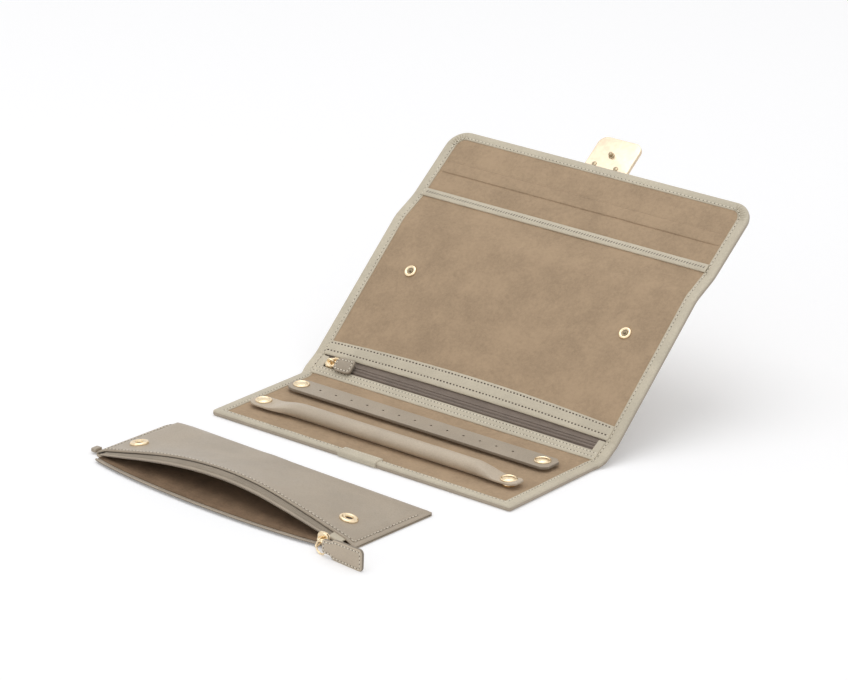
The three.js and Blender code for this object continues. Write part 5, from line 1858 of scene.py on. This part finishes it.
class ROLL_OT_pouch(bpy.types.Operator):
    """The loose pouch: two leather panels, suede linings, tapes, teeth and sewn edges"""
    bl_idname = "roll.pouch"
    bl_label = "Pouch"

    def execute(self, context):
        self.panels()
        self.linings()
        self.tapes()
        self.coil()
        self.ends()
        self.sockets()
        self.seams()
        return {"FINISHED"}

    def panels(self):
        side = [POUCH_HALF - 7 + 7 * math.sin(math.pi / 2 * i / 10) for i in range(1, 11)]
        xs = [-x for x in reversed(side)] + steps(7 - POUCH_HALF, POUCH_HALF - 7, 2.2) + side

        def shares(pitch):
            """Shares of the depth, close together at the rolled front edge."""
            rolled = [POUCH_DEPTH - left for left in (2.2, 1.4, 0.8, 0.4, 0.15, 0)]
            return [reach / POUCH_DEPTH for reach in steps(0, POUCH_DEPTH - 3, pitch) + rolled]

        def edges(x, share):
            """Distances from the front, from the nearer side and from the nearest edge of all."""
            front, side = (1 - share) * POUCH_DEPTH, POUCH_HALF - abs(x)
            return front, side, min(share * POUCH_DEPTH, front, side)

        def upper(x, share):
            front, side, edge = edges(x, share)
            point = upper_panel(x, lerp(corner_cut(x), POUCH_DEPTH, share))
            stitch = math.exp(-((min(front, side) - POUCH_SEAM) / 0.7) ** 2)
            fold = 0.4 * smoothstep((2.0 - front) / 1.6) * smoothstep(side / 2.0)
            point.z += POUCH_LEATHER + fold - 0.3 * stitch - 0.55 * (1 - smoothstep(edge / 0.5))
            return point

        def upper_thickness(x, share):
            front, _, edge = edges(x, share)
            roll = 0.5 * smoothstep((2.0 - front) / 1.6)
            return POUCH_LEATHER + roll - 0.75 * (1 - smoothstep(edge / 0.5))

        def lower(x, share):
            cut, front = corner_cut(x), POUCH_DEPTH + mouth_bow(x)
            reach = lerp(cut, front, share)
            edge = min(reach - cut, front - reach, POUCH_HALF - abs(x))
            return Vector((x, -reach, POUCH_LEATHER - 0.3 * (1 - smoothstep(edge / 0.4))))

        def lower_thickness(x, share):
            return POUCH_LEATHER - 0.6 * (1 - smoothstep(edges(x, share)[2] / 0.4))

        shell("pouch_upper_leather", ["pouch_leather"], "pouch_leather", ["pouch_top"], xs,
              shares(1.6), upper, upper_thickness)
        shell("pouch_lower_leather", ["pouch_leather"], "pouch_leather", ["pouch_bottom"], xs,
              shares(3.0), lower, lower_thickness)

    def linings(self):
        inner = POUCH_HALF - POUCH_HEM
        xs = steps(-inner, inner, 2.2)
        shares = [i / 34 for i in range(31)] + [0.9 + i / 200 for i in range(1, 21)]

        def upper(x, share):
            point = upper_panel(x, lerp(POUCH_HEM, POUCH_DEPTH - 2.4, share))
            point.z -= 0.25 + abs(wander(x, share * 60, 3.3, 12.0, 0.5))
            return point

        def lower(x, share):
            front = POUCH_DEPTH + HEM_OVER_TAPE + mouth_bow(x)
            reach = lerp(POUCH_HEM, front, share)
            swell = smoothstep(min(share, 1 - share) * 8) * smoothstep((inner - abs(x)) / 20)
            over = smoothstep((reach - front + HEM_OVER_TAPE + 4.0) / 2.0)
            hem = math.exp(-((reach - front + 1.6) / 0.35) ** 2)
            z = POUCH_FLOOR + 0.45 + 0.55 * over - 0.3 * hem
            z += swell * (0.5 + wander(x, reach, 6.6, 13.0, 0.9)) * (1 - over)
            return Vector((x, -reach, z))

        for label, node, top, thickness in (("upper", "top", upper, 0.4),
                                            ("lower", "bottom", lower, 0.5)):
            shell(f"pouch_{label}_suede", ["pouch_suede"], "pouch_suede",
                  ["pouch_lining_" + node], xs, shares, top, lambda x, share: thickness)

    def tapes(self):
        xs = steps(-TAPE_HALF, TAPE_HALF, 2.2)
        shares = [i / 46 for i in range(47)]
        start = POUCH_DEPTH - TAPE_TUCK
        span = TAPE_WIDTH + TAPE_TUCK

        def upper(x, share):
            point = tape_top(x, start + span * share)
            point.z += POUCH_CLOTH_RIDGE * tape_rise((1 - share) * span) - 0.25
            return point

        def lower(x, share):
            rise = POUCH_CLOTH_RIDGE * tape_rise((1 - share) * span)
            return Vector((x, -(start + mouth_bow(x) + span * share),
                           POUCH_FLOOR + TAPE_THICKNESS + rise))

        for label, node, top in (("upper", "top", upper), ("lower", "bottom", lower)):
            shell(f"pouch_{label}_tape", ["pouch_tape", "pouch_coil"], "zip_tape",
                  ["pouch_tape_" + node], xs, shares, top, lambda x, share: TAPE_THICKNESS,
                  1 - COIL_BAND / span)

    def coil(self):
        """One row of teeth along the edge of each tape."""
        along = pouch_place(0.25, -1, 0) - pouch_place(0, 0, 0)
        reach = POUCH_DEPTH + TAPE_WIDTH - 0.3
        marks = []
        for x in steps(-TAPE_HALF + 2, TAPE_HALF - 2, size_of("tooth_pitch")):
            upper = tape_top(x, reach) - UP * 0.25
            lower = (x, -reach - mouth_bow(x), POUCH_FLOOR + TAPE_THICKNESS - 0.05)
            marks += [(pouch_place(*place), along, UP) for place in (upper, lower)]
        teeth = row_object("pouch_teeth", marks, *POUCH_TOOTH, "zip_teeth", uneven=0.03)
        settle(teeth, "pouch", "zip_coil")

    def ends(self):
        """The small leather pieces at the right end: one on the upper tape, one past both."""
        def top(x, share):
            point = tape_top(x, POUCH_DEPTH - 1.0 + PATCH_REACH * share)
            edge = min(share, 1 - share) * PATCH_REACH
            point.z += 0.75 - 0.4 * (1 - smoothstep(edge / 0.5))
            return point

        shell("pouch_end_patch", ["border_leather"], "zip_tape", [],
              steps(TAPE_HALF - 8.0, TAPE_HALF + 0.6, 0.6), steps(0, 1, 0.08), top,
              lambda x, share: 0.9)
        low, high = low_corner("pouch_tape_end"), high_corner("pouch_tape_end")
        bm = bmesh.new()
        plate_rings(bm, rounded_outline(low.x, low.y, high.x, high.y, (1.2, 0.3, 0.3, 1.2), 5),
                    soft_levels(low.z, high.z, 0.3, 0.5), lambda *place: Vector(place))
        settle(finish_mesh("pouch_end_tab", bm, "pouch_leather"), "pouch", "zip_tape",
               "pouch_tape_end")

    def sockets(self):
        for side in ("left", "right"):
            node = "pouch_socket_" + side
            flat = Matrix.Rotation(-POUCH_TURN, 3, "Z") @ (centre_of(node) - POUCH_PLACE)
            x, reach = flat.x, abs(flat.y)
            along = (upper_panel(x + 2, reach) - upper_panel(x - 2, reach)).normalized()
            down = (upper_panel(x, reach + 2) - upper_panel(x, reach - 2)).normalized()
            up = down.cross(along).normalized()
            if up.z < 0:
                up.negate()
            foot = upper_panel(x, reach) + UP * POUCH_LEATHER
            flush = seat_at(foot, along, up.cross(along), up)

            def seat(*place, flush=flush):
                return pouch_place(*flush(*place))

            spun_piece("pouch_ring_" + side, SOCKET_PROFILE, seat, "pouch", node)
            # A dark disc in the socket's middle, painted as the shade inside its hole.
            spun_piece("pouch_well_" + side, WELL_PROFILE, seat, "pouch", kind="needle_hole",
                       slot="pouch_leather")

    def seams(self):
        """Stitches behind the mouth's edge and down both short sides."""
        pitch = size_of("stitch_pitch")
        half = POUCH_HALF - POUCH_SEAM
        depth = POUCH_DEPTH - POUCH_SEAM
        places = [(-half, reach) for reach in steps(10, depth, 2.0)]
        places += [(x, depth) for x in steps(-half, half, 2.0)]
        places += [(half, reach) for reach in steps(depth, 10, 2.0)]
        line = [pouch_place(*(upper_panel(*at) + UP * (POUCH_LEATHER + 0.12))) for at in places]
        ups = [UP] * len(line)
        # The stitches, and dark marks painted as the shade in their needle holes.
        for name, start, size, kind in (
                ("pouch_stitches", 0.5, POUCH_STITCH, "pale_thread"),
                ("pouch_needle_holes", 0, NEEDLE_HOLE, "needle_hole")):
            row = row_object(name, spaced(line, ups, pitch, start), *size, kind)
            settle(row, "pouch", "pouch_leather")


# Stage

PHOTO_WIDTH = 848
PHOTO_FOCUS = 4000
SENSOR = 36.0
CAMERA_PLACE = Vector((1402.70, -1849.42, 937.06))
CAMERA_AZIMUTH = 0.6441307948765972
CAMERA_ELEVATION = 0.35810677140622976
CAMERA_ROLL = 0.035168196940722166
FLOOR_REACH = 4.0
FLOOR_LEVEL = -0.06 * MM
FLOOR_GLOW = 0.2
ROOM_LIGHT = 0.58
LAMP_AIM = Vector((0.0, 0.04, 0.03))
LAMPS = (
    ("key", (-0.6, -0.35, 3.0), 2.8, 27.0),
    ("fill", (1.5, -1.6, 1.9), 2.6, 6.5),
    ("top", (0.2, 1.0, 2.8), 2.2, 8.5),
    ("front", (-0.4, -2.4, 0.6), 1.6, 4.5),
)


class ROLL_OT_stage(bpy.types.Operator):
    """Floor, lamps, world and the camera at the photograph's angle"""
    bl_idname = "roll.stage"
    bl_label = "Stage"

    def execute(self, context):
        self.camera(context.scene)
        self.floor()
        for lamp in LAMPS:
            self.lamp(*lamp)
        self.world(context.scene)
        context.scene.view_settings.view_transform = "Standard"
        return {"FINISHED"}

    def camera(self, scene):
        data = bpy.data.cameras.new("camera")
        data.lens = PHOTO_FOCUS * SENSOR / PHOTO_WIDTH
        data.sensor_width = SENSOR
        data.clip_end = 20
        level = math.cos(CAMERA_ELEVATION)
        back = Vector((math.sin(CAMERA_AZIMUTH) * level, -math.cos(CAMERA_AZIMUTH) * level,
                       math.sin(CAMERA_ELEVATION)))
        right = (-back).cross(UP).normalized()
        up = right.cross(-back)
        c, s = math.cos(CAMERA_ROLL), math.sin(CAMERA_ROLL)
        matrix = Matrix((right * c + up * s, up * c - right * s, back)).transposed().to_4x4()
        matrix.translation = CAMERA_PLACE * MM
        scene.camera = add_object("camera", data)
        scene.camera.matrix_world = matrix

    def floor(self):
        mesh = bpy.data.meshes.new("floor")
        corners = ((-1, -1), (1, -1), (1, 1), (-1, 1))
        mesh.from_pydata([(x * FLOOR_REACH, y * FLOOR_REACH, FLOOR_LEVEL) for x, y in corners],
                         [], [(0, 1, 2, 3)])
        material = bpy.data.materials.new("floor_white")
        material.use_nodes = True
        n = Nodes(material.node_tree)
        shader = n.find("BSDF_PRINCIPLED")
        for label, value in (("Base Color", (0.86, 0.86, 0.87, 1)), ("Roughness", 0.9),
                             ("Specular IOR Level", 0.1)):
            n.feed(shader.inputs[label], value)
        path = n.add("ShaderNodeLightPath").node.outputs
        seen = n.plus(path["Is Camera Ray"], path["Is Glossy Ray"], clamp=True)
        glow = n.add("ShaderNodeEmission", {"Strength": n.times(seen, FLOOR_GLOW)})
        total = n.add("ShaderNodeAddShader", {0: shader.outputs[0], 1: glow})
        n.feed(n.find("OUTPUT_MATERIAL").inputs["Surface"], total)
        mesh.materials.append(material)
        add_object("floor", mesh)

    def lamp(self, name, place, size, power):
        lamp = bpy.data.lights.new(name, "AREA")
        lamp.shape = "DISK"
        lamp.size = size
        lamp.energy = power
        obj = add_object(name, lamp)
        obj.location = place
        obj.rotation_euler = (LAMP_AIM - Vector(place)).to_track_quat("-Z", "Y").to_euler()

    def world(self, scene):
        scene.world = bpy.data.worlds.new("studio")
        scene.world.use_nodes = True
        n = Nodes(scene.world.node_tree)
        background = n.find("BACKGROUND").inputs
        n.feed(background["Color"], (1, 1, 1, 1))
        path = n.add("ShaderNodeLightPath").node.outputs
        bounced = n.plus(path["Is Glossy Ray"], path["Is Transmission Ray"])
        seen = n.plus(path["Is Camera Ray"], bounced, clamp=True)
        n.feed(background["Strength"], n.plus(ROOM_LIGHT, n.times(seen, 1 - ROOM_LIGHT)))


class ROLL_PT_panel(bpy.types.Panel):
    """Sizes, colours and pieces of the jewelry roll"""
    bl_idname = "ROLL_PT_panel"
    bl_label = "Jewelry Roll"
    bl_space_type = "VIEW_3D"
    bl_region_type = "UI"
    bl_category = "Jewelry Roll"

    def draw(self, context):
        layout = self.layout
        for group in (context.scene.roll_sizes, context.scene.roll_colours):
            box = layout.box()
            for name in group.__annotations__:
                box.prop(group, name)
        for operator in OPERATORS:
            layout.operator(operator.bl_idname)


OPERATORS = (
    ROLL_OT_stage, ROLL_OT_covers, ROLL_OT_linings, ROLL_OT_flap_pockets, ROLL_OT_main_zip,
    ROLL_OT_zip_pulls, ROLL_OT_ring_roll, ROLL_OT_earring_strap, ROLL_OT_snaps, ROLL_OT_clasp,
    ROLL_OT_lock_strip, ROLL_OT_pouch,
)
CLASSES = (RollSizes, RollColours, *OPERATORS, ROLL_PT_panel)


def register():
    for cls in CLASSES:
        bpy.utils.register_class(cls)
    bpy.types.Scene.roll_sizes = PointerProperty(type=RollSizes)
    bpy.types.Scene.roll_colours = PointerProperty(type=RollColours)


def unregister():
    del bpy.types.Scene.roll_colours
    del bpy.types.Scene.roll_sizes
    for cls in reversed(CLASSES):
        bpy.utils.unregister_class(cls)


def main():
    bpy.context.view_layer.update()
    register()
    for operator in OPERATORS:
        getattr(bpy.ops.roll, operator.bl_idname.split(".")[1])()
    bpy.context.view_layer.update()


if __name__ == "__main__":
    main()
